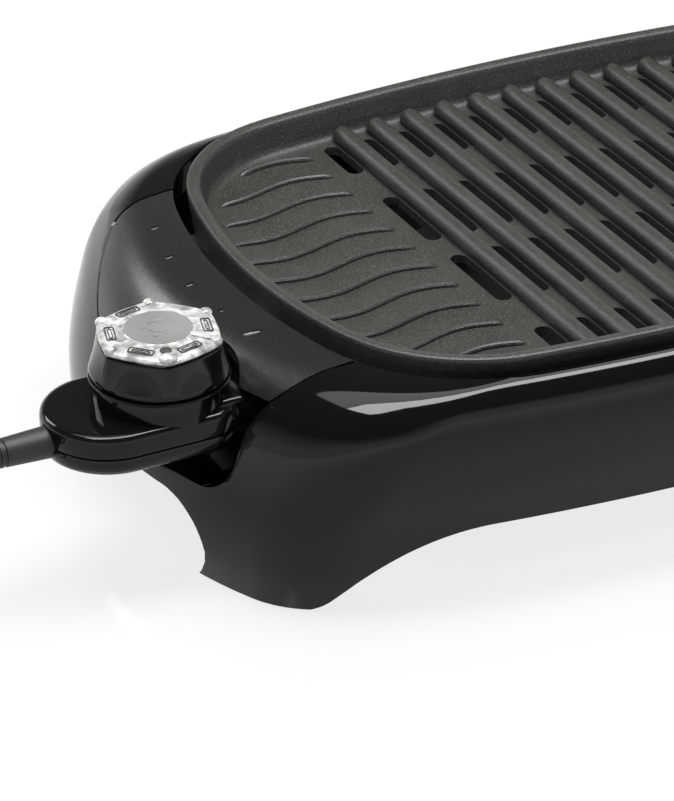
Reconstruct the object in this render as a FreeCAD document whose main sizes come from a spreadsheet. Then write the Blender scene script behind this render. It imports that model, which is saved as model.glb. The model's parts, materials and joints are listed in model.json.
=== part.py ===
"""Electric griddle: a cast non-stick plate in a gloss base, with a plug-in probe thermostat.

The origin is on the surface it stands on, under the middle of the plate.  X runs along the length
with the control at -X, Y runs to the back and Z is up.  Every size is in millimetres.
"""
import FreeCAD, Part
import math
import os

V = FreeCAD.Vector
doc = FreeCAD.newDocument("electric_griddle")

# ---------------------------------------------------------------- driving dimensions
DIMENSIONS = {
    # base: half length, half width, end bow, side bow and corner radius at the floor and the belly
    "base_half_length": 225.0, "base_half_width": 128.5, "base_wall": 3.0, "base_top": 89.3,
    "base_clear": 1.0, "side_bow": 903.0, "end_bow": 237.0,
    # plate
    "plate_half_length": 170.4, "plate_half_width": 114.4, "plate_corner": 64.0,
    "plate_gap": 4.8, "floor_top": 81.2, "floor_thick": 3.4, "rim_top": 94.0, "skirt_low": 76.0,
    "rim_width": 5.3, "rim_foot": 8.2,
    # bars, slots and ribs of the plate
    "bar_pitch": 15.5, "bar_count": 11, "bar_radius": 4.0, "bar_lift": 2.0, "slot_width": 6.8,
    "slot_inner_a": 7.1, "slot_inner_b": 47.0, "slot_outer_a": 70.3, "slot_outer_b": 96.0,
    "rib_count": 11, "rib_pitch": 16.8, "rib_width": 2.0, "rib_height": 1.2, "rib_end": 96.6,
    "rib_first": 89.7, "rib_swing": 3.5,
    # openings of the base
    "arch_height": 31.0, "arch_radius": 75.0, "arch_flat": 125.0, "foot_round": 16.0,
    "end_arch_height": 34.0, "end_arch_half": 56.0, "end_arch_corner": 20.0, "body_corner": 15.0,
    "seam_gap": 1.0,
    # control
    "knob_x": -222.3, "knob_y": -40.0, "shell_radius": 25.0, "shell_left": -240.0,
    "shell_right": -205.0, "shell_low": 57.9, "parting": 65.4, "lip_top": 74.2,
    "collar_low": 81.6, "knob_low": 83.8, "knob_high": 96.8, "cap_top": 101.0,
    "neck_half": 19.5, "neck_end": -177.0, "neck_top": 76.0, "shell_wall": 2.0,
    "probe_radius": 3.0, "probe_clear": 0.3, "probe_tip": -106.0, "pin_offset": 13.0,
    "pin_radius": 2.4, "pin_z": 66.0,
    # tray and heating tube
    "tray_half_length": 160.0, "tray_half_width": 101.0, "tray_low": 37.0, "tray_top": 56.0,
    "tray_sheet": 1.2, "tube_radius": 3.5, "tube_y": 58.6, "tube_z": 73.9,
    # lead
    "lead_radius": 3.25, "relief_end": -300.0, "coil_x": -322.0, "coil_y": 27.0,
    "coil_radius": 36.0,
}

sheet = doc.addObject("Spreadsheet::Sheet", "Sizes")
for row, (alias, value) in enumerate(DIMENSIONS.items(), start=1):
    sheet.set(f"A{row}", alias)
    sheet.set(f"B{row}", str(value))
    sheet.setAlias(f"B{row}", alias)
doc.recompute()


def size(alias):
    """The value of one cell of the sheet."""
    return float(sheet.get(alias))


# ---------------------------------------------------------------- helpers
nodes = {}


def cell(expression):
    """An expression in which every known alias is read from the sheet."""
    words = "".join(c if c.isalnum() or c == "_" else " " for c in str(expression)).split()
    text = f" {expression} "
    for word in sorted(set(words), key=len, reverse=True):
        if word in DIMENSIONS:
            text = text.replace(word, f"\0{list(DIMENSIONS).index(word)}\1")
    for index, alias in enumerate(DIMENSIONS):
        text = text.replace(f"\0{index}\1", f"Sizes.{alias}")
    return text.strip()


TURN = {"Z": FreeCAD.Rotation(), "X": FreeCAD.Rotation(V(0, 1, 0), 90),
        "Y": FreeCAD.Rotation(V(1, 0, 0), -90)}


def put(obj, x, y, z, axis="Z"):
    """Turn an object's own Z to an axis and bind its place to the sheet."""
    obj.Placement = FreeCAD.Placement(V(0, 0, 0), TURN[axis])
    for name, expression in zip("xyz", (x, y, z)):
        obj.setExpression(f"Placement.Base.{name}", cell(expression))
    return obj


def block(name, x, y, z, length, width, height):
    """A box from its lowest corner."""
    obj = doc.addObject("Part::Box", name)
    for prop, expression in (("Length", length), ("Width", width), ("Height", height)):
        obj.setExpression(prop, cell(expression))
    return put(obj, x, y, z)


def rod(name, x, y, z, radius, height, axis="Z"):
    """A cylinder from the middle of its first face."""
    obj = doc.addObject("Part::Cylinder", name)
    obj.setExpression("Radius", cell(radius))
    obj.setExpression("Height", cell(height))
    return put(obj, x, y, z, axis)


def cone(name, x, y, z, radius1, radius2, height, axis="Z"):
    """A cone from the middle of its first face."""
    obj = doc.addObject("Part::Cone", name)
    for prop, expression in (("Radius1", radius1), ("Radius2", radius2), ("Height", height)):
        obj.setExpression(prop, cell(expression))
    return put(obj, x, y, z, axis)


def fuse(name, *parts):
    """One solid of several."""
    obj = doc.addObject("Part::MultiFuse", name)
    obj.Shapes = list(parts)
    return obj


def cut(name, base, *tools):
    """A solid with tools taken out of it."""
    for index, tool in enumerate(tools):
        obj = doc.addObject("Part::Cut", name if index == len(tools) - 1 else f"{name}_cut{index}")
        obj.Base, obj.Tool = base, tool
        base = obj
    return base


def group(name, parts):
    """Separate solids that share one node."""
    obj = doc.addObject("Part::Compound", name)
    obj.Links = list(parts)
    return obj


def made(name, shape):
    """An object whose shape comes from Part's own functions."""
    obj = doc.addObject("Part::Feature", name)
    obj.Shape = shape
    return obj


def node(name, obj):
    """Give a finished sub-part its label, which names its file."""
    obj.Label = name
    nodes[name] = obj
    return obj


# ---------------------------------------------------------------- outlines
def bowed_outline(half_length, half_width, end_bow, side_bow, corner, z):
    """A closed wire of four bowed sides with tangent round corners."""
    side = V(0, half_width - side_bow, 0)
    end = V(half_length - end_bow, 0, 0)
    r_side, r_end = side_bow - corner, end_bow - corner
    across = end - side
    span = across.Length
    along = (r_side ** 2 - r_end ** 2 + span ** 2) / (2 * span)
    off = math.sqrt(r_side ** 2 - along ** 2)
    unit = across / span
    middle = side + unit * along + V(-unit.y, unit.x, 0) * off
    if middle.x < 0 or middle.y < 0:
        middle = side + unit * along - V(-unit.y, unit.x, 0) * off
    on_end = end + (middle - end).normalize() * end_bow
    on_side = side + (middle - side).normalize() * side_bow
    bend = middle + ((on_end + on_side) / 2 - middle).normalize() * corner

    def at(point, sx, sy):
        return V(point.x * sx, point.y * sy, z)

    edges = [
        Part.Arc(at(on_end, 1, -1), V(half_length, 0, z), at(on_end, 1, 1)),
        Part.Arc(at(on_end, 1, 1), at(bend, 1, 1), at(on_side, 1, 1)),
        Part.Arc(at(on_side, 1, 1), V(0, half_width, z), at(on_side, -1, 1)),
        Part.Arc(at(on_side, -1, 1), at(bend, -1, 1), at(on_end, -1, 1)),
        Part.Arc(at(on_end, -1, 1), V(-half_length, 0, z), at(on_end, -1, -1)),
        Part.Arc(at(on_end, -1, -1), at(bend, -1, -1), at(on_side, -1, -1)),
        Part.Arc(at(on_side, -1, -1), V(0, -half_width, z), at(on_side, 1, -1)),
        Part.Arc(at(on_side, 1, -1), at(bend, 1, -1), at(on_end, 1, -1)),
    ]
    return Part.Wire([edge.toShape() for edge in edges])


def plate_outline(offset, z):
    """The plate's outline, grown or shrunk all round."""
    return bowed_outline(size("plate_half_length") + offset, size("plate_half_width") + offset,
                         size("end_bow") + offset, size("side_bow") + offset,
                         size("plate_corner") + offset, z)


def prism(wire, height):
    """A flat wire raised along Z."""
    return Part.Face(wire).extrude(V(0, 0, height))


def plate_slab(offset, low, high):
    """A straight-sided slab on the plate's outline."""
    return prism(plate_outline(offset, low), high - low)


def slope(offset_low, low, offset_high, high):
    """A slab on the plate's outline with leaning sides."""
    return Part.makeLoft([plate_outline(offset_low, low), plate_outline(offset_high, high)],
                         True, True)


def base_levels():
    """Height, half length, half width, end bow and corner of the base from the floor up."""
    long, wide = size("base_half_length"), size("base_half_width")
    return [
        (size("base_clear"), long - 5.5, wide - 17.0, 171.0, 38.0),
        (16.0, long - 1.8, wide - 12.0, 173.0, 42.0),
        (33.0, long - 0.5, wide - 8.0, 175.0, 46.0),
        (47.0, long - 2.6, wide - 4.3, 178.0, 49.0),
        (60.0, long - 6.5, wide - 1.6, 182.0, 51.0),
        (68.0, long - 10.0, wide - 0.4, 187.0, 52.0),
        (75.0, long - 14.5, wide, 191.0, 53.0),
        (81.0, long - 20.5, wide - 1.2, 198.0, 55.0),
        (84.0, long - 24.8, wide - 2.5, 204.0, 57.0),
        (86.4, long - 29.6, wide - 4.3, 211.0, 59.0),
        (88.2, long - 36.0, wide - 6.7, 222.0, 62.0),
        (size("base_top"), long - 46.5, wide - 9.5, 236.0, 66.0),
    ]


def base_loft(inset, levels):
    """A solid through the base's levels, pulled in all round by an inset."""
    wires = [bowed_outline(length - inset, width - inset, bow - inset,
                           size("side_bow") - inset, corner - inset, z)
             for z, length, width, bow, corner in levels]
    return Part.makeLoft(wires, True, True)


LEVELS = base_levels()
outer = base_loft(0.0, LEVELS)
wall = size("base_wall")
hollow_levels = [(z - (0.0 if z < 70 else wall * (z - 70) / 19.3), length, width, bow, corner)
                 for z, length, width, bow, corner in LEVELS]
hollow_levels[0] = (size("base_clear"),) + hollow_levels[0][1:]
hollow = base_loft(wall, hollow_levels)


# ---------------------------------------------------------------- seam and opening outlines
def end_wire(points, x):
    """A closed wire in an end's plane; three numbers in a row give an arc's middle point too."""
    edges = []
    here = points[0]
    for kind, *rest in points[1:]:
        if kind == "line":
            edges.append(Part.LineSegment(V(x, *here), V(x, *rest[0])).toShape())
        elif kind == "arc":
            edges.append(Part.Arc(V(x, *here), V(x, *rest[0]), V(x, *rest[1])).toShape())
        else:
            curve = Part.BSplineCurve()
            curve.interpolate([V(x, *here)] + [V(x, *p) for p in rest])
            edges.append(curve.toShape())
        here = rest[-1]
    return Part.Wire(edges)


def end_prism(points, x, length):
    """An end's outline carried along X."""
    return Part.Face(end_wire(points, x)).extrude(V(length, 0, 0))


def control_opening(gap):
    """The cut in the base's left end: the panel's seam and, below it, the control's way in."""
    corner = 13.9 * (1 - math.sqrt(0.5))
    return [
        (-79.0, 98.0),
        ("curve", (-76.4, 88.7), (-74.0, 82.5), (-70.2, 76.0), (-68.4, 68.0)),
        ("line", (-68.4, 55.6)),
        ("arc", (-68.4 + corner, 41.7 + corner), (-54.5, 41.7)),
        ("line", (-1.0, 41.7)),
        ("arc", (12.9 - corner, 41.7 + corner), (12.9, 55.6)),
        ("curve", (24.0, 61.5), (38.0, 66.8), (52.0, 73.0), (66.0, 79.2), (74.8, 84.5), (79.0, 98.0)),
        ("line", (-79.0, 98.0)),
    ]


left_cut = end_prism(control_opening(0), -260.0, 110.0)
LEFT_PANEL = [
    (-77.8, 98.0),
    ("curve", (-75.2, 88.7), (-73.0, 82.9), (-70.4, 78.3)),
    ("line", (-14.0, 78.3)),
    ("line", (-12.0, 76.3)),
    ("line", (-12.0, 62.0)),
    ("line", (22.6, 62.0)),
    ("curve", (38.0, 68.2), (52.0, 74.4), (65.5, 80.5), (73.8, 85.6), (77.8, 98.0)),
    ("line", (-77.8, 98.0)),
]
RIGHT_CUT = [
    (-79.0, 98.0),
    ("curve", (-74.8, 84.5), (-66.0, 79.2), (-52.0, 73.0), (-38.0, 66.8)),
    ("curve", (0.0, 63.0), (38.0, 66.8)),
    ("curve", (52.0, 73.0), (66.0, 79.2), (74.8, 84.5), (79.0, 98.0)),
    ("line", (-79.0, 98.0)),
]
RIGHT_PANEL = [
    (-77.8, 98.0),
    ("curve", (-73.8, 85.6), (-65.5, 80.5), (-52.0, 74.4), (-38.0, 68.2)),
    ("curve", (0.0, 64.4), (38.0, 68.2)),
    ("curve", (52.0, 74.4), (65.5, 80.5), (73.8, 85.6), (77.8, 98.0)),
    ("line", (-77.8, 98.0)),
]
right_cut = end_prism(RIGHT_CUT, 150.0, 110.0)

# ---------------------------------------------------------------- base shell
gap = size("plate_gap")
plate_hole = plate_slab(gap, 60.0, 99.0)
flange = plate_slab(gap + 2.4, 78.0, 88.0)

arch_r = size("arch_radius")
arch_x, arch_z = size("arch_flat"), size("arch_height")
foot_r = size("foot_round")
half_turn = math.sqrt(0.5)


def long_arch_wire():
    """The long sides' arch: a flat top, a falling curve and a rounded corner at each foot."""
    y = -160.0
    arch_middle = V(arch_x, y, arch_z - arch_r)
    reach = math.sqrt((arch_r + foot_r) ** 2 - (foot_r + arch_r - arch_z) ** 2)
    foot_middle = V(arch_x + reach, y, foot_r)
    away = (foot_middle - arch_middle).normalize()
    meeting = arch_middle + away * arch_r
    toe = V(foot_middle.x, y, 0)
    half_down = (V(0, 0, -1) - away).normalize()
    top = V(arch_x, y, arch_z)
    half_up = (V(0, 0, 1) + away).normalize()
    right = [toe, foot_middle + half_down * foot_r, meeting,
             arch_middle + half_up * arch_r, top]
    left = [V(-p.x, y, p.z) for p in right]
    return Part.Wire([
        Part.LineSegment(left[0], right[0]).toShape(),
        Part.Arc(*right[0:3]).toShape(),
        Part.Arc(*right[2:5]).toShape(),
        Part.LineSegment(right[4], left[4]).toShape(),
        Part.Arc(left[4], left[3], left[2]).toShape(),
        Part.Arc(left[2], left[1], left[0]).toShape(),
    ])


long_arch = Part.Face(long_arch_wire()).extrude(V(0, 320, 0))
half, high, turn = size("end_arch_half"), size("end_arch_height"), size("end_arch_corner")
bulge = turn * (1 - half_turn)
end_arch = end_prism([
    (8.0 - half, 0.0),
    ("curve", (4.6 - half, 4.0), (1.4 - half, 9.0), (-half, high - turn)),
    ("arc", (-half + bulge, high - bulge), (-half + turn, high)),
    ("line", (half - turn, high)),
    ("arc", (half - bulge, high - bulge), (half, high - turn)),
    ("curve", (half - 1.4, 9.0), (half - 4.6, 4.0), (half - 8.0, 0.0)),
    ("line", (8.0 - half, 0.0)),
], -260.0, 520.0)

shell = outer.cut(hollow.cut(flange)).cut(plate_hole)
shell = shell.cut(left_cut).cut(right_cut).cut(long_arch).cut(end_arch)

foot_places = [(sx * 194.0, sy * 65.0) for sx in (-1, 1) for sy in (-1, 1)]
webs = []
for sx, sy in foot_places:
    x, y = (sx - 6.0 if sx > 0 else sx - 34.0), (sy - 10.0 if sy > 0 else sy - 40.0)
    web = Part.makeBox(40.0, 50.0, 3.0, V(x, y, 1.6))
    web = web.common(outer).cut(Part.makeCylinder(3.1, 8.0, V(sx, sy, 0)))
    webs.append(web)
ledges = []
for sx in (-110.0, 110.0):
    for sy in (-1, 1):
        y = 96.0 if sy > 0 else -132.0
        ledges.append(Part.makeBox(20.0, 36.0, 5.0, V(sx - 10.0, y, 49.5)).common(outer))
recess = [
    Part.makeBox(52.0, 87.3, 3.0, V(-224.0, -71.4, 38.7)),
    Part.makeBox(52.0, 3.0, 15.0, V(-224.0, -71.4, 38.7)),
    Part.makeBox(52.0, 3.0, 15.0, V(-224.0, 12.9, 38.7)),
    Part.makeBox(3.0, 87.3, 15.0, V(-175.0, -71.4, 38.7)),
]
recess = [wall.common(outer).cut(left_cut) for wall in recess]
pad_seats = [Part.makeCylinder(5.8, 3.6, V(sx, sy, -2.0)) for sx, sy in foot_places]
shell = shell.cut(pad_seats).fuse(webs + ledges + recess).removeSplitter()
node("base_shell", made("BaseShell", shell))

pads = []
for index, (sx, sy) in enumerate(foot_places):
    disc = rod(f"PadDisc{index}", sx, sy, 0, 5.5, 1.6)
    stem = rod(f"PadStem{index}", sx, sy, 1, 2.9, 5.5)
    pads.append(fuse(f"Pad{index}", disc, stem))
node("foot_pads", group("FootPads", pads))

# ---------------------------------------------------------------- drip tray
def tray_wire(grow, z):
    """The tray's outline, which follows the plate's."""
    return bowed_outline(size("tray_half_length") + grow, size("tray_half_width") + grow,
                         size("end_bow"), size("side_bow"), 56.0 + grow, z)


tray_low, tray_top, sheet_t = size("tray_low"), size("tray_top"), size("tray_sheet")
tray = Part.makeLoft([tray_wire(-6, tray_low), tray_wire(0, tray_top)], True, True)
well = Part.makeLoft([tray_wire(-6 - sheet_t, tray_low + sheet_t),
                      tray_wire(-sheet_t, tray_top + 0.01)], True, True)
lip = prism(tray_wire(6, tray_top - sheet_t), sheet_t).cut(prism(tray_wire(-1, tray_top - 5), 9))
node("drip_tray", made("DripTray", tray.cut(well).fuse(lip).removeSplitter()))

# ---------------------------------------------------------------- grill plate
floor_top, rim_top = size("floor_top"), size("rim_top")
skirt = size("skirt_low")
plate = slope(-2.4, skirt, 0.0, rim_top - 2.0).fuse(slope(0.0, rim_top - 2.0, -1.0, rim_top))
well = slope(-size("rim_foot"), floor_top, -size("rim_width"), rim_top + 0.02)
under = slope(-size("rim_foot") - 1.0, skirt - 0.02, -size("rim_foot") - 2.0,
              floor_top - size("floor_thick"))
plate = plate.cut(well).cut(under)

pitch, count = size("bar_pitch"), int(size("bar_count"))
bar_r = size("bar_radius")
bar_z = floor_top + size("bar_lift")
first_column = -pitch * count / 2
inside = slope(-size("rim_foot") + 0.6, floor_top - 1.0, -size("rim_width") - 0.4, rim_top - 1)


def slot(x, low, high):
    """One slot with round ends, through the floor."""
    r = size("slot_width") / 2
    z, deep = floor_top - 8.0, 16.0
    body = Part.makeBox(2 * r, high - low - 2 * r, deep, V(x - r, low + r, z))
    ends = [Part.makeCylinder(r, deep, V(x, y, z)) for y in (low + r, high - r)]
    return body.fuse(ends)


slots = []
for k in range(count + 1):
    x = first_column + k * pitch
    for a, b in ((size("slot_inner_a"), size("slot_inner_b")),
                 (size("slot_outer_a"), size("slot_outer_b"))):
        slots += [slot(x, a, b), slot(x, -b, -a)]
plate = plate.cut(Part.makeCompound(slots))

bars = []
for k in range(count):
    x = first_column + (k + 0.5) * pitch
    half_bar = size("plate_half_width") - size("rim_foot") - x * x / (2 * size("side_bow")) - 4.0
    bar = Part.makeCylinder(bar_r, 2 * half_bar, V(x, -half_bar, bar_z), V(0, 1, 0))
    balls = [Part.makeSphere(bar_r, V(x, y, bar_z)) for y in (-half_bar, half_bar)]
    bars.append(bar.fuse(balls))
above = Part.makeBox(400, 300, 12, V(-200, -150, floor_top - 1.2))
bars = [bar.common(above) for bar in bars]


def rib_shape(y_middle, x_left):
    """One raised wavy rib: a sine along X from the slots towards the plate's end."""
    x_right = -size("rib_end")
    steps = max(4, round((x_right - x_left) / 8.0))
    xs = [x_left + (x_right - x_left) * i / steps for i in range(steps + 1)]
    wave = [y_middle - 0.8 + size("rib_swing") * math.sin(2 * math.pi * (x + 127.0) / 62.0)
            for x in xs]
    half_rib = size("rib_width") / 2
    sides, ends = [], []
    for side in (1, -1):
        row = [V(x, y + side * half_rib, floor_top - 0.4) for x, y in zip(xs, wave)]
        line = Part.BSplineCurve()
        line.interpolate(row)
        sides.append(line.toShape())
        ends.append((row[0], row[-1]))
    caps = [Part.LineSegment(a, b).toShape() for a, b in zip(*ends)]
    face = Part.Face(Part.Wire(Part.__sortEdges__(sides + caps)))
    return face.extrude(V(0, 0, size("rib_height") + 0.4))


ribs = []
for k in range(int(size("rib_count"))):
    y_middle = size("rib_first") - k * size("rib_pitch")
    reach = math.sqrt(max(0.0, 1 - (y_middle / 128.0) ** 2))
    x_left = -size("plate_half_length") + 14.0 + 40.0 * (1 - reach)
    rib = rib_shape(y_middle, x_left)
    ribs += [rib, rib.rotated(V(0, 0, 0), V(0, 0, 1), 180)]
plate = plate.fuse(bars + ribs)
node("grill_plate", made("GrillPlate", plate))

# ---------------------------------------------------------------- end panels
scoop = Part.makeCylinder(size("shell_radius") + 3.4, 30.0,
                          V(size("knob_x"), size("knob_y"), 78.2))


def panel(points, x):
    """A panel that carries the base's surface across its end."""
    skin = outer.cut(hollow).common(end_prism(points, x, 110.0))
    return skin.cut(plate_slab(gap, 60.0, 99.0))


left_panel = panel(LEFT_PANEL, -260.0).cut(scoop)


def panel_bracket(name, side, y, width):
    """A folded strap from the plate's underside up to a panel."""
    def at(x0, x1):
        return min(side * x0, side * x1)
    low = block(f"{name}Low", at(155, 177.6), y, 74.4, 22.6, width, 1.6)
    riser = block(f"{name}Riser", at(176, 177.6), y, 74.4, 1.6, width, 10.9)
    top = block(f"{name}Top", at(176, 185.5), y, 83.7, 9.5, width, 1.6)
    hole = rod(f"{name}Hole", side * 181.5, y + width / 2, 83, 1.6, 4)
    return cut(name, fuse(f"{name}Strap", low, riser, top), hole)


left_places = [(-70.0, 7.0), (2.0, 12.0), (50.0, 12.0)]
right_places = [(-56.0, 12.0), (44.0, 12.0)]
sides = (("left", -1, left_places, left_panel),
         ("right", 1, right_places, panel(RIGHT_PANEL, 150.0)))
for name, side, places, skin in sides:
    title = name.title()
    straps = [panel_bracket(f"{title}Bracket{i}", side, y, width)
              for i, (y, width) in enumerate(places)]
    screws = []
    for i, (y, width) in enumerate(places):
        x, middle = side * 181.5, y + width / 2
        head = rod(f"{title}Head{i}", x, middle, 82.2, 2.8, 1.5)
        shank = rod(f"{title}Shank{i}", x, middle, 83.7, 1.6, 3.3)
        screws.append(fuse(f"{title}Screw{i}", head, shank))
        seat = Part.makeBox(9.5, width, 1.6, V(min(side * 176, side * 185.5), y, 83.7))
        skin = skin.cut(Part.makeCompound([
            seat, Part.makeCylinder(1.6, 4.7, V(x, middle, 82.3)),
            Part.makeCylinder(2.8, 4.0, V(x, middle, 79.7))]))
    node(f"{name}_panel_brackets", group(f"{title}Brackets", straps))
    node(f"{name}_panel_screws", group(f"{title}Screws", screws))
    node(f"{name}_end_panel", made(f"{title}EndPanel", skin.removeSplitter()))

# ---------------------------------------------------------------- heating tube and its terminals
KY, KX = size("knob_y"), size("knob_x")
PIN = size("pin_offset")
PIN_Z, TUBE_Z, TUBE_Y = size("pin_z"), size("tube_z"), size("tube_y")
TERMINAL_X = -150.0


def tangent_path(points, share=0.45):
    """Straight runs joined by tangent arcs, and the arcs' radii."""
    edges, radii = [], []
    here = V(*points[0])
    for before, corner, after in zip(points, points[1:], points[2:]):
        before, corner, after = V(*before), V(*corner), V(*after)
        into, out = (before - corner), (after - corner)
        shorter = share * min(into.Length, out.Length)
        into.normalize()
        out.normalize()
        half_angle = into.getAngle(out) / 2
        radius = shorter * math.tan(half_angle)
        start, stop = corner + into * shorter, corner + out * shorter
        bisector = (into + out).normalize()
        middle = corner + bisector * (radius / math.sin(half_angle) - radius)
        edges.append(Part.LineSegment(here, start).toShape())
        edges.append(Part.Arc(start, middle, stop).toShape())
        radii.append(radius)
        here = stop
    edges.append(Part.LineSegment(here, V(*points[-1])).toShape())
    return Part.Wire(edges), radii


def tube_along(points, radius, label, share=0.45):
    """A round tube along a route, with its volume compared with section times length."""
    path, radii = tangent_path(points, share)
    start, heading = V(*points[0]), (V(*points[1]) - V(*points[0])).normalize()
    section = Part.Wire([Part.Circle(start, heading, radius).toShape()])
    tube = path.makePipeShell([section], True, False)
    ideal = math.pi * radius ** 2 * path.Length
    print(label, "length", round(path.Length, 1), "radii", [round(r, 1) for r in radii],
          "volume ratio", round(tube.Volume / ideal, 4))
    return tube


TUBE_ROUTE = [
    (TERMINAL_X, KY - PIN, PIN_Z), (-139.0, KY - PIN, PIN_Z), (-126.0, -TUBE_Y, TUBE_Z),
    (60.0, -TUBE_Y, TUBE_Z), (125.0, -TUBE_Y + 10, TUBE_Z), (148.0, 0.0, TUBE_Z),
    (125.0, TUBE_Y - 10, TUBE_Z), (60.0, TUBE_Y, TUBE_Z), (-82.0, TUBE_Y, TUBE_Z),
    (-112.0, 38.0, TUBE_Z), (-120.0, 8.0, TUBE_Z), (-132.0, KY + PIN, PIN_Z),
    (TERMINAL_X, KY + PIN, PIN_Z),
]
heater = tube_along(TUBE_ROUTE, size("tube_radius"), "heating tube", 0.42)
node("heating_element", made("HeatingElement", heater))

clips = []
for index, (x, side) in enumerate([(-70, -1), (20, -1), (-58, 1), (20, 1)]):
    clip_y = f"{side} * tube_y"
    body = block(f"ClipBody{index}", x - 4, f"{side} * tube_y - 5.6", "tube_z - 4.6", 8, 11.2,
                 "floor_top - floor_thick - tube_z + 4.6")
    bore = rod(f"ClipBore{index}", x - 5, clip_y, "tube_z", "tube_radius", 10, "X")
    clips.append(cut(f"Clip{index}", body, bore))
node("element_clips", group("ElementClips", clips))

for name, sign in (("front", "-"), ("back", "+")):
    node(f"terminal_pin_{name}", rod(f"Pin{name.title()}", -195, f"knob_y {sign} pin_offset",
                                     "pin_z", "pin_radius", 195 + TERMINAL_X, "X"))

insulators = []
for name, sign in (("front", "-"), ("back", "+")):
    y = f"knob_y {sign} pin_offset"
    barrel = rod(f"Bush{name}", -170, y, "pin_z", 4.6, 14, "X")
    shoulder = rod(f"BushShoulder{name}", -161, y, "pin_z", 6.0, 5, "X")
    bore = rod(f"BushBore{name}", -171, y, "pin_z", "pin_radius", 20, "X")
    insulators.append(cut(f"Insulator{name}", fuse(f"BushBody{name}", barrel, shoulder), bore))
node("pin_insulators", group("PinInsulators", insulators))

plate_part = block("TerminalPlate", -162.6, "knob_y - 22", 59, 1.6, 44, "skirt_low - 59")
foot_part = block("TerminalFoot", -162.6, "knob_y - 22", "skirt_low - 1.6", 9, 44, 1.6)
bores = [rod(f"TerminalBore{name}", -164, f"knob_y {sign} pin_offset", "pin_z", 4.6, 5, "X")
         for name, sign in (("Front", "-"), ("Back", "+"))]
probe_bore = rod("TerminalProbeBore", -164, "knob_y", "pin_z", 4.0, 5, "X")
node("terminal_bracket", cut("TerminalBracket",
                             fuse("TerminalSheet", plate_part, foot_part), *bores, probe_bore))

sleeve_body = block("SleeveBody", -146, "knob_y - 5", "pin_z - 5", 42, 10,
                    "floor_top - floor_thick - pin_z + 5")
sleeve_bore = rod("SleeveBore", -147, "knob_y", "pin_z", "probe_radius + probe_clear", 44, "X")
node("probe_sleeve", cut("ProbeSleeve", sleeve_body, sleeve_bore))

# ---------------------------------------------------------------- control shells
R = size("shell_radius") - 0.5
LEFT, RIGHT = size("shell_left") - 2.4, size("shell_right") + 8.0
PART_Z, LIP, LOW = size("parting"), size("lip_top"), size("shell_low")


def body_wire(inset, z):
    """The control's outline: a half round end, straight sides and two small corners."""
    r, y0, y1 = R - inset, KY - R + inset, KY + R - inset
    corner, right = size("body_corner") - inset, RIGHT - inset
    k = corner * (1 - half_turn)
    return Part.Wire([
        Part.Arc(V(LEFT, y1, z), V(LEFT - r, KY, z), V(LEFT, y0, z)).toShape(),
        Part.LineSegment(V(LEFT, y0, z), V(right - corner, y0, z)).toShape(),
        Part.Arc(V(right - corner, y0, z), V(right - k, y0 + k, z), V(right, y0 + corner, z)).toShape(),
        Part.LineSegment(V(right, y0 + corner, z), V(right, y1 - corner, z)).toShape(),
        Part.Arc(V(right, y1 - corner, z), V(right - k, y1 - k, z), V(right - corner, y1, z)).toShape(),
        Part.LineSegment(V(right - corner, y1, z), V(LEFT, y1, z)).toShape(),
    ])


def body_slab(inset_low, low, inset_high, high):
    """A slab on the control's outline, leaning in towards its top or bottom."""
    return Part.makeLoft([body_wire(inset_low, low), body_wire(inset_high, high)], True, True)


shell_t = size("shell_wall")
NECK, NECK_END, NECK_TOP = size("neck_half"), size("neck_end"), size("neck_top")


def neck_box(inset, low, high, length=0.0):
    """The neck that the pins enter, from inside the body to its end."""
    start = RIGHT - 12.0
    return Part.makeBox(NECK_END - inset - start + length, 2 * (NECK - inset), high - low,
                        V(start, KY - NECK + inset, low))


pin_holes = [Part.makeCylinder(r, 12.0, V(NECK_END - 6.0, KY + off, PIN_Z), V(1, 0, 0))
             for off, r in ((-PIN, 3.9), (0.0, 4.7), (PIN, 3.9))]
ped_r = size("shell_radius")
ped_top = size("collar_low")
upper = body_slab(0, PART_Z, 0.6, LIP - 2.0).fuse(body_slab(0.6, LIP - 2.0, 2.6, LIP))
upper = upper.fuse([neck_box(0.0, PART_Z, NECK_TOP),
                    Part.makeCylinder(ped_r, ped_top - LIP + 4, V(KX, KY, LIP - 4))])
upper = upper.cut(Part.makeCompound([
    body_slab(shell_t, PART_Z - 1, shell_t + 0.6, LIP - shell_t)]))
upper = upper.cut(neck_box(shell_t, PART_Z - 1, NECK_TOP - shell_t))
upper = upper.cut(Part.makeCylinder(ped_r - shell_t, ped_top - LIP, V(KX, KY, LIP - shell_t - 0.5)))
upper = upper.cut(Part.makeCylinder(3.4, 20.0, V(KX, KY, ped_top - 10)))
relief_bore = Part.makeCylinder(4.0, 12.0, V(LEFT - R - 6.0, KY, PART_Z), V(1, 0, 0))
upper = upper.cut(Part.makeCompound(pin_holes)).cut(relief_bore)

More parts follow.
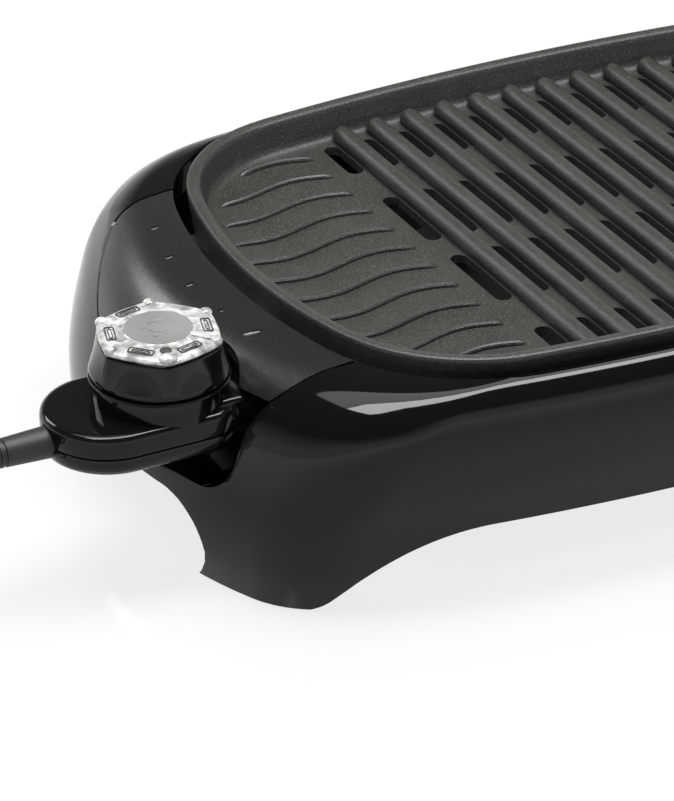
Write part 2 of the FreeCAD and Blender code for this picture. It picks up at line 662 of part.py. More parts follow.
lower = body_slab(2.6, LOW, 0.6, LOW + 2.0).fuse(body_slab(0.6, LOW + 2.0, 0, PART_Z))
lower = lower.fuse(neck_box(0.0, LOW + 1.0, PART_Z))
lower = lower.cut(body_slab(shell_t + 1.0, LOW + shell_t, shell_t, PART_Z + 1))
lower = lower.cut(neck_box(shell_t, LOW + 1.0 + shell_t, PART_Z + 1))
lower = lower.cut(Part.makeCompound(pin_holes)).cut(relief_bore)
post_places = [(LEFT - 8.0, KY - 15.0), (LEFT - 8.0, KY + 15.0), (RIGHT - 12.0, KY - 19.0),
               (RIGHT - 12.0, KY + 19.0)]
for px, py in post_places:
    lower = lower.fuse(Part.makeCylinder(2.6, PART_Z - LOW - 1, V(px, py, LOW + 1)))
    upper = upper.fuse(Part.makeCylinder(2.6, LIP - PART_Z - 1, V(px, py, PART_Z)))
    hole = Part.makeCylinder(1.3, 14.0, V(px, py, LOW - 2))
    lower, upper = lower.cut(hole), upper.cut(hole)
    lower = lower.cut(Part.makeCylinder(2.2, 3.4, V(px, py, LOW - 2)))
node("control_upper_shell", made("ControlUpperShell", upper.removeSplitter()))
node("control_lower_shell", made("ControlLowerShell", lower.removeSplitter()))

screws = []
for index, (px, py) in enumerate(post_places):
    head = rod(f"ControlHead{index}", px, py, "shell_low + 0.2", 2.1, 1.2)
    shank = rod(f"ControlShank{index}", px, py, "shell_low + 1.4", 1.3, 10.5)
    screws.append(fuse(f"ControlScrew{index}", head, shank))
node("control_screws", group("ControlScrews", screws))

ring = rod("CollarDisc", "knob_x", "knob_y", "collar_low", "shell_radius + 0.6", 1.5)
ring_bore = rod("CollarBore", "knob_x", "knob_y", "collar_low - 1", 6, 5)
node("knob_collar", cut("KnobCollar", ring, ring_bore))

# ---------------------------------------------------------------- probe, sockets and thermostat
node("probe_rod", rod("ProbeRod", -204, "knob_y", "pin_z", "probe_radius", "204 + probe_tip", "X"))
bush_out = rod("RodBushOuter", -199, "knob_y", "pin_z", 4.4, 24, "X")
bush_in = rod("RodBushInner", -200, "knob_y", "pin_z", "probe_radius", 27, "X")
node("rod_bush", cut("RodBush", bush_out, bush_in))
for name, sign in (("front", "-"), ("back", "+")):
    y = f"knob_y {sign} pin_offset"
    outer_tube = rod(f"SocketOuter{name}", -198, y, "pin_z", 3.7, 18.6, "X")
    inner_tube = rod(f"SocketInner{name}", -197, y, "pin_z", "pin_radius + 0.3", 19, "X")
    node(f"socket_{name}", cut(f"Socket{name.title()}", outer_tube, inner_tube))
carrier = block("CarrierBlock", -196, "knob_y - 17.4", 61.2, 8, 34.8, 12)
bores = [rod(f"CarrierBore{i}", -197, y, "pin_z", r, 12, "X") for i, (y, r) in enumerate(
    [("knob_y - pin_offset", 3.7), ("knob_y", 4.4), ("knob_y + pin_offset", 3.7)])]
node("socket_block", cut("SocketBlock", carrier, *bores))

frame_base = block("FrameBase", -246, "knob_y - 8", 60.1, 44, 16, 1.4)
frame_post = block("FramePost", -246, "knob_y - 8", 60.1, 4, 16, 4.4)
frame_end = block("FrameEnd", -205.6, "knob_y - 8", 60.1, 1.6, 16, 11.5)
frame_bore = rod("FrameBore", -207, "knob_y", "pin_z", "probe_radius", 5, "X")
node("thermostat_frame", cut("ThermostatFrame",
                             fuse("FrameSheet", frame_base, frame_post, frame_end), frame_bore))
node("contact_arm", block("ContactArm", -246, "knob_y - 3", 64.5, 34, 6, 0.6))
node("bimetal_blade", block("BimetalBlade", -240, "knob_y - 5", 61.5, 32, 10, 0.8))
contacts = [rod("ContactLow", -216, "knob_y", 62.3, 2, 1.1), rod("ContactHigh", -216, "knob_y", 63.4, 2, 1.1)]
node("contact_buttons", group("ContactButtons", contacts))

# ---------------------------------------------------------------- knob
def lobed_wire(radius, lobe, z):
    """A closed curve with six shallow lobes."""
    points = []
    for step in range(36):
        turn_at = math.radians(10.0 * step)
        r = radius + lobe * math.cos(6 * (turn_at - math.radians(14.0)))
        points.append(V(KX + r * math.cos(turn_at), KY + r * math.sin(turn_at), z))
    curve = Part.BSplineCurve()
    curve.interpolate(points, PeriodicFlag=True)
    return Part.Wire([curve.toShape()])


KNOB_LOW, KNOB_HIGH, CAP_TOP = size("knob_low"), size("knob_high"), size("cap_top")
knob = Part.makeLoft([lobed_wire(25.3, 0.0, KNOB_LOW), lobed_wire(23.4, 0.6, KNOB_LOW + 5.5),
                      lobed_wire(21.3, 1.1, KNOB_HIGH)], True, False)
knob = knob.cut(Part.makeCylinder(3.0, 11.0, V(KX, KY, KNOB_LOW - 1)))
node("knob_body", made("KnobBody", knob))
cap = Part.makeLoft([lobed_wire(21.2, 1.1, KNOB_HIGH), lobed_wire(20.9, 1.1, CAP_TOP - 1.4),
                     lobed_wire(19.8, 1.0, CAP_TOP - 0.6)], True, False)
ridge = Part.makeBox(17.0, 3.0, 1.4, V(2.0, -1.5, CAP_TOP - 1.4))
ridge = ridge.rotated(V(0, 0, 0), V(0, 0, 1), -46.0).translated(V(KX, KY, 0))
node("knob_cap", made("KnobCap", cap.fuse(ridge)))
node("knob_shaft", rod("KnobShaft", "knob_x", "knob_y", 66.6, 3, "knob_low + 10 - 66.6"))
cam_body = rod("CamDisc", "knob_x", "knob_y", 67.0, 8, 2.6)
cam_bore = rod("CamBore", "knob_x", "knob_y", 66, 3, 5)
node("cam", cut("Cam", cam_body, cam_bore))
clip_body = rod("ShaftClipDisc", "knob_x", "knob_y", "collar_low - 3.6", 5.5, 1)
clip_bore = rod("ShaftClipBore", "knob_x", "knob_y", "collar_low - 4", 3, 3)
node("shaft_clip", cut("ShaftClip", clip_body, clip_bore))

# ---------------------------------------------------------------- lead, coil and plug
RELIEF_END, LEAD_R = size("relief_end") - 4.0, size("lead_radius")
relief_start = LEFT - R
collar_ring = rod("ReliefRoot", relief_start - 0.1, "knob_y", "parting", 3.9, 8, "X")
relief_cone = cone("ReliefCone", RELIEF_END, "knob_y", "parting", 4.4, 5.9,
                   relief_start - RELIEF_END, "X")
relief_bore_obj = rod("ReliefBore", RELIEF_END - 1, "knob_y", "parting", "lead_radius", 60, "X")
node("strain_relief", cut("StrainRelief", fuse("ReliefBody", collar_ring, relief_cone),
                          relief_bore_obj))

LEAD_ROUTE = [
    (RELIEF_END, KY, PART_Z), (-344.0, KY, PART_Z), (-387.0, KY + 16.0, LEAD_R + 0.5),
    (-381.0, KY + 79.0, LEAD_R + 0.5),
]
node("cord_lead", made("CordLead", tube_along(LEAD_ROUTE, LEAD_R, "lead")))
last, before = V(*LEAD_ROUTE[-1]), V(*LEAD_ROUTE[-2])
HEADING = (last - before).normalize()
ACROSS = V(HEADING.y, -HEADING.x, 0)
STUB, LAYER = 24.0, 6.3
COIL_MID, PITCH = size("coil_radius"), 2 * LEAD_R
touch = last + HEADING * STUB
centre = touch + ACROSS * (COIL_MID + PITCH / 2)
r_out, r_in = COIL_MID + PITCH / 2 + LEAD_R, COIL_MID - PITCH / 2 - LEAD_R
coil_low = 0.5
coil_high = coil_low + PITCH + LAYER
coil = Part.makeCylinder(r_out, coil_high - coil_low, V(centre.x, centre.y, coil_low))
coil = coil.cut(Part.makeCylinder(r_in, 30, V(centre.x, centre.y, -5)))
stub = Part.makeCylinder(LEAD_R - 0.2, STUB + 3.0, last, HEADING)
tail_start = V(touch.x, touch.y, LEAD_R + 0.5 + LAYER)
TAIL = 30.0
tail = Part.makeCylinder(LEAD_R - 0.2, TAIL, tail_start, HEADING)
node("cord_coil", made("CordCoil", coil.fuse([stub, tail]).removeSplitter()))
turns = 4 * 2 * math.pi * COIL_MID
print("coil centre", centre, "cord length about", round(turns + STUB + TAIL, 1), "plus the lead")


def frame_at(origin, heading):
    """The placement whose own X points along a level heading."""
    angle = math.degrees(math.atan2(heading.y, heading.x))
    return FreeCAD.Placement(origin, FreeCAD.Rotation(V(0, 0, 1), angle))


tie_t, tie_w = 0.4, 7.0
band = Part.makeBox(r_out - r_in + 2 * tie_t + 1.0, tie_w, coil_high - coil_low + 2 * tie_t,
                    V(r_in - tie_t - 0.6, -tie_w / 2, coil_low - tie_t))
band = band.cut(Part.makeCylinder(r_out, 30, V(0, 0, coil_low)).common(
    Part.makeBox(200, 200, coil_high - coil_low, V(-100, -100, coil_low))).cut(
    Part.makeCylinder(r_in, 30, V(0, 0, 0))))
band.Placement = frame_at(V(centre.x, centre.y, 0), ACROSS)
node("cord_tie", made("CordTie", band))

plug_at = tail_start + HEADING * TAIL
half_plug = plug_at.z - 0.4
profile = [(0, 4.6), (13, 5.6), (13, 11.0), (20, 12.6), (40, 12.6), (40, -12.6), (20, -12.6),
           (13, -11.0), (13, -5.6), (0, -4.6)]
wire = Part.makePolygon([V(x, y, -half_plug) for x, y in profile + profile[:1]])
plug = Part.Face(wire).extrude(V(0, 0, 2 * half_plug))
waist = Part.makeBox(13.0, 40.0, 40.0, V(0, -20, -20)).cut(
    Part.makeBox(13.0, 40.0, 10.0, V(0, -20, -5.0)))
plug = plug.cut(waist)
long_edges = [e for e in plug.Edges if abs(e.tangentAt(e.FirstParameter).z) < 0.01
              and abs(e.CenterOfMass.z) > half_plug - 0.01 and e.CenterOfMass.x > 14]
plug = plug.makeChamfer(1.6, long_edges)
plug.Placement = frame_at(plug_at, HEADING)
node("plug_body", made("PlugBody", plug))
blades = []
for side in (-1, 1):
    blade = Part.makeBox(17.0, 1.6, 6.4, V(40.0, side * 6.35 - 0.8, -3.2))
    blade = blade.cut(Part.makeCylinder(1.5, 12, V(52.5, side * 6.35 - 6, 0), V(0, 1, 0)))
    blades.append(blade)
blade_pair = Part.makeCompound(blades)
blade_pair.Placement = frame_at(plug_at, HEADING)
node("plug_blades", made("PlugBlades", blade_pair))

# ---------------------------------------------------------------- check and write
doc.recompute()
faults = []
for obj in doc.Objects:
    if "Invalid" in obj.State or "Error" in obj.State:
        faults.append((obj.Name, obj.State))
for name, obj in nodes.items():
    if obj.Shape.isNull() or not obj.Shape.isValid() or obj.Shape.Volume <= 0:
        faults.append((name, "shape"))
    mesh_box = FreeCAD.BoundBox()
    for point in obj.Shape.tessellate(0.3)[0]:
        mesh_box.add(point)
    lo = tuple(round(v, 1) for v in (mesh_box.XMin, mesh_box.YMin, mesh_box.ZMin))
    hi = tuple(round(v, 1) for v in (mesh_box.XMax, mesh_box.YMax, mesh_box.ZMax))
    print(f"{name:22s} solids {len(obj.Shape.Solids)} volume {obj.Shape.Volume:10.0f} {lo} {hi}")
if faults:
    raise RuntimeError(f"faulty objects: {faults}")
os.makedirs("parts", exist_ok=True)
for name, obj in nodes.items():
    obj.Shape.exportStep(f"parts/{name}.step")
print(len(nodes), "nodes written")
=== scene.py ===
# %% [markdown]
# # Electric griddle
# A cast non-stick plate sits in a glossy black base, and a probe thermostat with a clear-capped
# dial plugs into one end.  The mechanical model gives every moving part its place.  This lesson
# gives those parts the surfaces that the eye meets, and lights them softly.

import bmesh
import bpy
import json
import math
from mathutils.bvhtree import BVHTree
from mathutils import Matrix, Vector


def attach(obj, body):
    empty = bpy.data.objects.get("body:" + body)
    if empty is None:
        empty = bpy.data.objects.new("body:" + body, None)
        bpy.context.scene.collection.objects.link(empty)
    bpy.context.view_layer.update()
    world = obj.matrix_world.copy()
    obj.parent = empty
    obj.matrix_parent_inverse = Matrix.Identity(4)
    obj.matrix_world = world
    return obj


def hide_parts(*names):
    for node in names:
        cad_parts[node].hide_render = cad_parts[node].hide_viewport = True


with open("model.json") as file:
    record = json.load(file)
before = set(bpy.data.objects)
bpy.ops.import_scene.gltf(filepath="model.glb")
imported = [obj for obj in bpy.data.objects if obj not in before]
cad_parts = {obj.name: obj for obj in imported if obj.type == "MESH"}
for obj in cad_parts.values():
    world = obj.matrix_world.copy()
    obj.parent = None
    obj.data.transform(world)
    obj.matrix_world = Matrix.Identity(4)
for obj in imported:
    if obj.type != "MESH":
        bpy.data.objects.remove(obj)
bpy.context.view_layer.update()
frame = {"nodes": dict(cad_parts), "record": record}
MM = 0.001

# %% [markdown]
# ## Camera
# A product shot from the control's corner, with a fairly long lens so that the sides stay nearly
# parallel.  It is aimed by a target point, so that turning or moving it back stays one number.

# %% Camera
AZIMUTH, ELEVATION = math.radians(-27.26), math.radians(29.31)
TARGET = Vector((-0.1750, -0.0853, 0.0812))
DISTANCE = 1.4875

camera = bpy.data.objects.new("camera", bpy.data.cameras.new("camera"))
bpy.context.scene.collection.objects.link(camera)
camera.data.lens, camera.data.sensor_width = 191.0, 36.0
back = Vector((math.sin(AZIMUTH) * math.cos(ELEVATION),
               -math.cos(AZIMUTH) * math.cos(ELEVATION), math.sin(ELEVATION)))
camera.location = TARGET + back * DISTANCE
camera.rotation_mode = "QUATERNION"
camera.rotation_quaternion = (-back).to_track_quat("-Z", "Y")
camera.data.clip_start, camera.data.clip_end = 0.05, 20.0
bpy.context.scene.camera = camera

# %% [markdown]
# ## Node materials
# Each finish is built from a Principled shader.  One helper adds any node with its settings and
# links, and one turns a painter's hex colour into the linear numbers that the shader wants.

# %% Material helpers
def linear(hex_colour):
    """An sRGB hex colour as linear red, green, blue and alpha."""
    value = [int(hex_colour[i:i + 2], 16) / 255 for i in (1, 3, 5)]
    value = [c / 12.92 if c <= 0.04045 else ((c + 0.055) / 1.055) ** 2.4 for c in value]
    return (*value, 1.0)


def add(tree, kind, settings=None, **inputs):
    """Adds one node; an input that is a socket is linked, and anything else is set."""
    made = tree.nodes.new(kind)
    for name, value in (settings or {}).items():
        setattr(made, name, value)
    for name, value in inputs.items():
        key = name.replace("_", " ")
        if isinstance(value, bpy.types.NodeSocket):
            tree.links.new(value, made.inputs[key])
        else:
            made.inputs[key].default_value = value
    return made


def finish_of(name):
    """A new material with its node tree, its Principled shader and its object coordinates."""
    material = bpy.data.materials.new(name)
    material.use_nodes = True
    tree = material.node_tree
    shader = tree.nodes["Principled BSDF"]
    where = add(tree, "ShaderNodeTexCoord").outputs["Object"]
    return material, tree, shader, where


COLOUR_A, COLOUR_B, COLOUR_OUT = 6, 7, 2  # a Mix node's sockets when it mixes colours


def mixed(tree, factor, low, high):
    """A colour that goes from one to the other with a factor; low may be another colour socket."""
    blend = add(tree, "ShaderNodeMix", {"data_type": "RGBA"}, Factor=factor)
    if isinstance(low, str):
        blend.inputs[COLOUR_A].default_value = linear(low)
    else:
        tree.links.new(low, blend.inputs[COLOUR_A])
    blend.inputs[COLOUR_B].default_value = linear(high)
    return blend.outputs[COLOUR_OUT]


def ranged(tree, value, low, high, start=0.0, stop=1.0):
    """A number carried from one range to another."""
    return add(tree, "ShaderNodeMapRange", None, Value=value, From_Min=start, From_Max=stop,
               To_Min=low, To_Max=high).outputs["Result"]


def noise(tree, where, scale, detail, distortion=0.0):
    """A cloud pattern between 0 and 1."""
    return add(tree, "ShaderNodeTexNoise", None, Vector=where, Scale=scale, Detail=detail,
               Distortion=distortion).outputs["Fac"]


def colour_into(tree, shader, colour):
    """Sends a colour to the shader."""
    tree.links.new(colour, shader.inputs["Base Color"])


def roughness_into(tree, shader, pattern, low, high, start=0.3, stop=0.7):
    """Sends a pattern to the shader as roughness between two limits."""
    tree.links.new(ranged(tree, pattern, low, high, start, stop), shader.inputs["Roughness"])


def bump_into(tree, shader, height, distance):
    """Sends a height pattern to the shader as bump of a real depth, in metres."""
    bump = add(tree, "ShaderNodeBump", None, Height=height, Distance=distance, Strength=1.0)
    tree.links.new(bump.outputs["Normal"], shader.inputs["Normal"])

# %% [markdown]
# ## Finishes
# The base and the control are phenolic mouldings polished in the mould: black, with a deep clean
# reflection and the faintest waviness.  The plate is cast aluminium under a dark non-stick
# coating, which leaves a fine orange-peel and tiny speckles.  The end panel wears a satin coat.

# %% Phenolic, moulded and polished
def moulded_gloss(name, low, high, roughness, wave=0.00002):
    """Mould-polished black plastic: slow colour drift, faint dust and almost no texture."""
    material, tree, shader, where = finish_of(name)
    colour_into(tree, shader, mixed(tree, noise(tree, where, 14.0, 3.0), low, high))
    dust = noise(tree, where, 900.0, 4.0)
    roughness_into(tree, shader, dust, roughness * 0.8, roughness * 1.3)
    shader.inputs["Specular IOR Level"].default_value = 0.24
    bump_into(tree, shader, noise(tree, where, 60.0, 1.0), wave)
    return material


GLOSS_BLACK = moulded_gloss("phenolic_moulded_gloss", "#070708", "#0a0a0b", 0.06)
CONTROL_BLACK = moulded_gloss("abs_polished_black", "#080809", "#0b0b0c", 0.07)

# %% Non-stick coating on cast aluminium
def nonstick(name):
    """Sprayed PTFE: charcoal, semi-matte, with orange-peel a few tenths of a millimetre across."""
    material, tree, shader, where = finish_of(name)
    cloud = noise(tree, where, 45.0, 4.0)
    speck = noise(tree, where, 1900.0, 2.0)
    tone = mixed(tree, ranged(tree, cloud, 0, 1, 0.3, 0.7), "#21221e", "#292a26")
    flecked = mixed(tree, ranged(tree, speck, 0, 0.5, 0.55, 0.78), tone, "#6d6d64")
    colour_into(tree, shader, flecked)
    roughness_into(tree, shader, speck, 0.36, 0.5)
    shader.inputs["IOR"].default_value = 1.45
    bump_into(tree, shader, speck, 0.00012)
    return material


NONSTICK = nonstick("ptfe_sprayed_on_cast_aluminium")

# %% Satin coat on the end panels
def satin_coat(name):
    """Baked satin enamel with a grain so fine that it only softens the reflection."""
    material, tree, shader, where = finish_of(name)
    colour_into(tree, shader, mixed(tree, noise(tree, where, 20.0, 2.0), "#121211", "#161615"))
    grain = noise(tree, where, 2600.0, 2.0)
    roughness_into(tree, shader, grain, 0.24, 0.34)
    bump_into(tree, shader, grain, 0.000004)
    return material


PANEL_SATIN = satin_coat("enamel_baked_satin")

# %% Plain metals, rubbers and mouldings for the smaller parts
def metal(name, low, high, roughness, scale=700.0, stretch=(1, 1, 1)):
    """A metal whose grain runs along one direction, from drawing or rolling."""
    material, tree, shader, where = finish_of(name)
    turned = add(tree, "ShaderNodeMapping", None, Vector=where, Scale=stretch)
    grain = noise(tree, turned.outputs["Vector"], scale, 3.0)
    colour_into(tree, shader, mixed(tree, grain, low, high))
    roughness_into(tree, shader, grain, roughness * 0.8, roughness * 1.25)
    shader.inputs["Metallic"].default_value = 1.0
    bump_into(tree, shader, grain, 0.00001)
    return material


def dull(name, low, high, roughness, scale, depth):
    """An unpolished surface, such as rubber or fired clay, with its grain as bump."""
    material, tree, shader, where = finish_of(name)
    grain = noise(tree, where, scale, 4.0)
    colour_into(tree, shader, mixed(tree, grain, low, high))
    roughness_into(tree, shader, grain, roughness * 0.9, roughness * 1.1)
    bump_into(tree, shader, grain, depth)
    return material


# Painted shade: the drip tray is made black so that the slots read as dark as the shade under the
# plate; the tray's own colour is not known.
TRAY_BLACK_FOR_SHADE = dull("tray_black_painted_shade", "#141414", "#1c1c1b", 0.4, 600.0, 0.00002)
PLATED_STEEL = metal("steel_zinc_plated", "#a6a8a6", "#bcbdb8", 0.3, 800.0, (1, 0.1, 1))
HEATER_SHEATH = metal("steel_sheath_heat_browned", "#6a5f55", "#837a70", 0.42, 300.0)
SOCKET_BRASS = metal("brass_drawn", "#a8823f", "#c7a260", 0.28, 600.0, (0.1, 1, 1))
STRIP_METAL = metal("bimetal_rolled", "#9d9179", "#b4a98f", 0.34, 500.0, (0.08, 1, 1))
CERAMIC = dull("steatite_fired", "#d6d0c2", "#e4dfd2", 0.6, 500.0, 0.00003)
FOOT_RUBBER = dull("rubber_moulded", "#1b1a19", "#242322", 0.75, 1200.0, 0.00004)
CORD_RUBBER = dull("pvc_extruded_matte", "#131110", "#1a1716", 0.55, 1500.0, 0.00002)
INNER_BLACK = dull("phenolic_matte", "#151515", "#1d1d1d", 0.6, 800.0, 0.00003)


def frosted_clear(name):
    """Clear polycarbonate with a moulded frost underneath, so it reads as cloudy white-grey."""
    material, tree, shader, where = finish_of(name)
    swirl = noise(tree, where, 170.0, 4.0, 1.2)
    tone = mixed(tree, ranged(tree, swirl, 0, 1, 0.34, 0.66), "#83837f", "#e6e6e4")
    colour_into(tree, shader, tone)
    roughness_into(tree, shader, swirl, 0.04, 0.16, 0.35, 0.65)
    shader.inputs["IOR"].default_value = 1.58
    shader.inputs["Transmission Weight"].default_value = 0.4
    bump_into(tree, shader, swirl, 0.00025)
    return material


CLEAR_CAP = frosted_clear("polycarbonate_clear")
CAP_FROST = dull("polycarbonate_frosted", "#5e5e5c", "#7c7c7a", 0.4, 60.0, 0.00001)

# %% Give every carried-over part its finish
FINISHES = {
    "gloss_shell": GLOSS_BLACK, "foot_rubber": FOOT_RUBBER, "tray_sheet": TRAY_BLACK_FOR_SHADE,
    "nonstick": NONSTICK, "heater_tube": HEATER_SHEATH, "steel": PLATED_STEEL,
    "cast_sleeve": NONSTICK, "ceramic": CERAMIC, "panel_metal": PANEL_SATIN,
    "control_plastic": CONTROL_BLACK, "inner_plastic": INNER_BLACK, "brass": SOCKET_BRASS,
    "spring_metal": STRIP_METAL, "contact_metal": SOCKET_BRASS, "clear_cap": CLEAR_CAP,
    "relief_rubber": CORD_RUBBER, "cord_jacket": CORD_RUBBER, "tie_plastic": CORD_RUBBER,
    "blade_metal": SOCKET_BRASS,
}
SLOT_OF = {entry["node"]: entry["material_slot"] for entry in frame["record"]["subparts"]}
for node_name, node_object in frame["nodes"].items():
    node_object.data.materials.clear()
    node_object.data.materials.append(FINISHES[SLOT_OF[node_name]])
print("finishes on", len(frame["nodes"]), "carried-over parts")

# %% [markdown]
# ## Finishing a piece
# Every new piece ends the same way: its mesh becomes an object at the origin with one finish,
# rides on a body, and stands for the plain part that it replaces.

# %% Finishing helper
def finished(bm, name, body, material, replaces=(), smooth_angle=35.0, recalc=True, even=False):
    """Turns a bmesh into a smooth-shaded object that rides on a body."""
    bmesh.ops.remove_doubles(bm, verts=bm.verts, dist=1e-6)
    if recalc:
        bmesh.ops.recalc_face_normals(bm, faces=bm.faces)
    for face in bm.faces:
        face.smooth = True
    for edge in bm.edges:
        edge.smooth = len(edge.link_faces) == 2 and edge.calc_face_angle(0) < math.radians(smooth_angle)
    mesh = bpy.data.meshes.new(name)
    bm.to_mesh(mesh)
    bm.free()
    mesh.materials.append(material)
    piece = bpy.data.objects.new(name, mesh)
    bpy.context.scene.collection.objects.link(piece)
    for node_name in replaces:
        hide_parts(node_name)
    if even:
        shading = piece.modifiers.new("even_shading", "WEIGHTED_NORMAL")
        shading.keep_sharp, shading.weight = True, 90
    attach(piece, body)
    print(name, len(mesh.vertices), "vertices")
    return piece

# %% [markdown]
# ## Outline of the plate and the base
# Both are bowed rectangles: four shallow arcs joined by tangent round corners.  Every ring of the
# shell is that outline at its own size, so one function draws them all with the same number of
# points, and neighbouring rings can simply be joined by quads.

# %% Bowed outline
SIDE_BOW = 903.0


def bowed_outline(half_length, half_width, end_bow, side_bow, corner, steps=(10, 12, 16)):
    """Points round the outline, counter-clockwise from the middle of the +X end, in mm."""
    side, end = Vector((0, half_width - side_bow)), Vector((half_length - end_bow, 0))
    r_side, r_end = side_bow - corner, end_bow - corner
    across = end - side
    span = across.length
    along = (r_side ** 2 - r_end ** 2 + span ** 2) / (2 * span)
    off = math.sqrt(r_side ** 2 - along ** 2)
    unit = across / span
    middle = side + unit * along + Vector((-unit.y, unit.x)) * off
    if middle.x < 0 or middle.y < 0:
        middle = side + unit * along - Vector((-unit.y, unit.x)) * off
    angle_end = math.atan2(middle.y - end.y, middle.x - end.x)
    angle_side = math.atan2(middle.y - side.y, middle.x - side.x)
    quarter = []
    for centre, radius, a, b, count in ((end, end_bow, 0.0, angle_end, steps[0]),
                                        (middle, corner, angle_end, angle_side, steps[1]),
                                        (side, side_bow, angle_side, math.pi / 2, steps[2])):
        for i in range(count):
            t = a + (b - a) * i / count
            quarter.append(centre + radius * Vector((math.cos(t), math.sin(t))))
    top = Vector((0, half_width))
    points = quarter + [top]
    points += [Vector((-p.x, p.y)) for p in reversed(quarter)]
    points += [Vector((p.x, -p.y)) for p in reversed(points[1:-1])]
    return points


def ring(bm, points, z):
    """A closed loop of vertices at a height."""
    return [bm.verts.new((p.x * MM, p.y * MM, z * MM)) for p in points]


def skinned(rings, closed=False):
    """A bmesh skin of quads through rings of (points, height), all with as many points."""
    bm = bmesh.new()
    loops = [ring(bm, points, z) for points, z in rings]
    pairs = list(zip(loops, loops[1:])) + ([(loops[-1], loops[0])] if closed else [])
    for low, high in pairs:
        for i in range(len(low)):
            bm.faces.new((low[i - 1], low[i], high[i], high[i - 1]))
    return bm


PLATE = {"half_length": 170.4, "half_width": 114.4, "end_bow": 237.0, "side_bow": SIDE_BOW,
         "corner": 64.0}


def plate_outline(offset):
    """The plate's outline, grown or shrunk all round."""
    return bowed_outline(*[value + offset for value in PLATE.values()])


def curve_points(points, per_span=6):
    """A smooth curve through a few points or rows of numbers: a Catmull-Rom spline."""
    fine = []
    for i in range(len(points) - 1):
        p0, p1 = points[max(i - 1, 0)], points[i]
        p2, p3 = points[i + 1], points[min(i + 2, len(points) - 1)]
        for k in range(per_span):
            t = k / per_span
            fine.append(tuple(0.5 * (2 * b + (c - a) * t + (2 * a - 5 * b + 4 * c - d) * t * t
                                     + (3 * b - a - 3 * c + d) * t ** 3)
                              for a, b, c, d in zip(p0, p1, p2, p3)))
    return fine + [points[-1]]


# %% [markdown]
# ## Base shell
# The real shell is one deep moulding with a soft shoulder.  Its levels are the same ones that the
# mechanical part has, but the eye catches every kink in a gloss surface, so a smooth curve is
# laid through them and sampled finely.  The skin then turns over the lip into the well, comes
# back under the deck and goes down inside the wall, which closes it as one solid.

# %% Levels of the shell
LEVELS = [  # height, half length, half width, end bow, corner
    (1.0, 219.5, 111.5, 171.0, 38.0), (16.0, 223.2, 116.5, 173.0, 42.0),
    (33.0, 224.5, 120.5, 175.0, 46.0), (47.0, 222.4, 124.2, 178.0, 49.0),
    (60.0, 218.5, 126.9, 182.0, 51.0), (68.0, 215.0, 128.1, 187.0, 52.0),
    (75.0, 210.5, 128.5, 191.0, 53.0), (81.0, 204.5, 127.3, 198.0, 55.0),
    (84.0, 200.2, 126.0, 204.0, 57.0), (86.4, 195.4, 124.2, 211.0, 59.0),
    (88.2, 189.0, 121.8, 222.0, 62.0), (89.25, 178.5, 119.1, 236.0, 66.0),
]
GAP = 4.8  # between the plate's rim and the base's well
WALL, DECK_START, DECK_RISE = 3.0, 70.0, 19.3


def level_ring(level, inset=0.0, drop=0.0):
    """One ring of the shell, pulled in by an inset and lowered."""
    z, length, width, bow, corner = level
    return (bowed_outline(length - inset, width - inset, bow - inset, SIDE_BOW - inset,
                          corner - inset), z - drop)


def shell_rings(wall):
    """The rings of a closed shell: up the outside, over the lip and down the inside."""
    outside = [level_ring(level) for level in curve_points(LEVELS, 3)]
    lip = [(plate_outline(GAP + 0.9), 89.28), (plate_outline(GAP + 0.35), 89.05),
           (plate_outline(GAP), 88.4), (plate_outline(GAP), 78.0),
           (plate_outline(GAP + 2.4), 78.0), (plate_outline(GAP + 2.4), 85.9)]
    inside = [level_ring(level, wall, wall * max(0.0, level[0] - DECK_START) / DECK_RISE)
              for level in reversed(LEVELS[:-1])]
    inside[-1] = (inside[-1][0], LEVELS[0][0])
    return outside + lip + inside


shell_mesh = skinned(shell_rings(WALL), closed=True)
bmesh.ops.recalc_face_normals(shell_mesh, faces=shell_mesh.faces)
print("shell", len(shell_mesh.verts), "vertices before its openings")

# %% [markdown]
# ## Openings
# The seam of the end panel, the way in for the control and the arches between the feet are cut
# through with solid cutters, as a router would.  A Boolean leaves crisp edges that a moulding
# never has, so a narrow bevel rounds them and gives each edge its thin highlight.  Behind the
# control's opening a floor and three thin walls make a recess, trimmed to the shell's inside.

# %% Cutters
def arc_points(centre, radius, start, stop, count=10):
    """Points along an arc, in degrees."""
    return [(centre[0] + radius * math.cos(math.radians(start + (stop - start) * i / count)),
             centre[1] + radius * math.sin(math.radians(start + (stop - start) * i / count)))
            for i in range(count + 1)]


def outward(bm):
    """The same closed mesh with every face turned outward; a Boolean misreads one turned inward."""
    bmesh.ops.recalc_face_normals(bm, faces=bm.faces)
    if bm.calc_volume(signed=True) < 0:
        bmesh.ops.reverse_faces(bm, faces=bm.faces)
    return bm


def prism(points, direction, start, length):
    """A solid cutter: an outline in an upright plane carried along X or Y, in mm."""
    bm = bmesh.new()
    if direction == "X":
        corners = [bm.verts.new((start * MM, a * MM, b * MM)) for a, b in points]
    else:
        corners = [bm.verts.new((a * MM, start * MM, b * MM)) for a, b in points]
    face = bm.faces.new(corners)
    moved = bmesh.ops.extrude_face_region(bm, geom=[face])["geom"]
    step = Vector((length * MM, 0, 0)) if direction == "X" else Vector((0, length * MM, 0))
    bmesh.ops.translate(bm, vec=step, verts=[v for v in moved if isinstance(v, bmesh.types.BMVert)])
    return outward(bm)


def temporary(bm, name):
    """A helper object that is removed once it has done its work."""
    mesh = bpy.data.meshes.new(name)
    bm.to_mesh(mesh)
    bm.free()
    made = bpy.data.objects.new(name, mesh)
    bpy.context.scene.collection.objects.link(made)
    return made


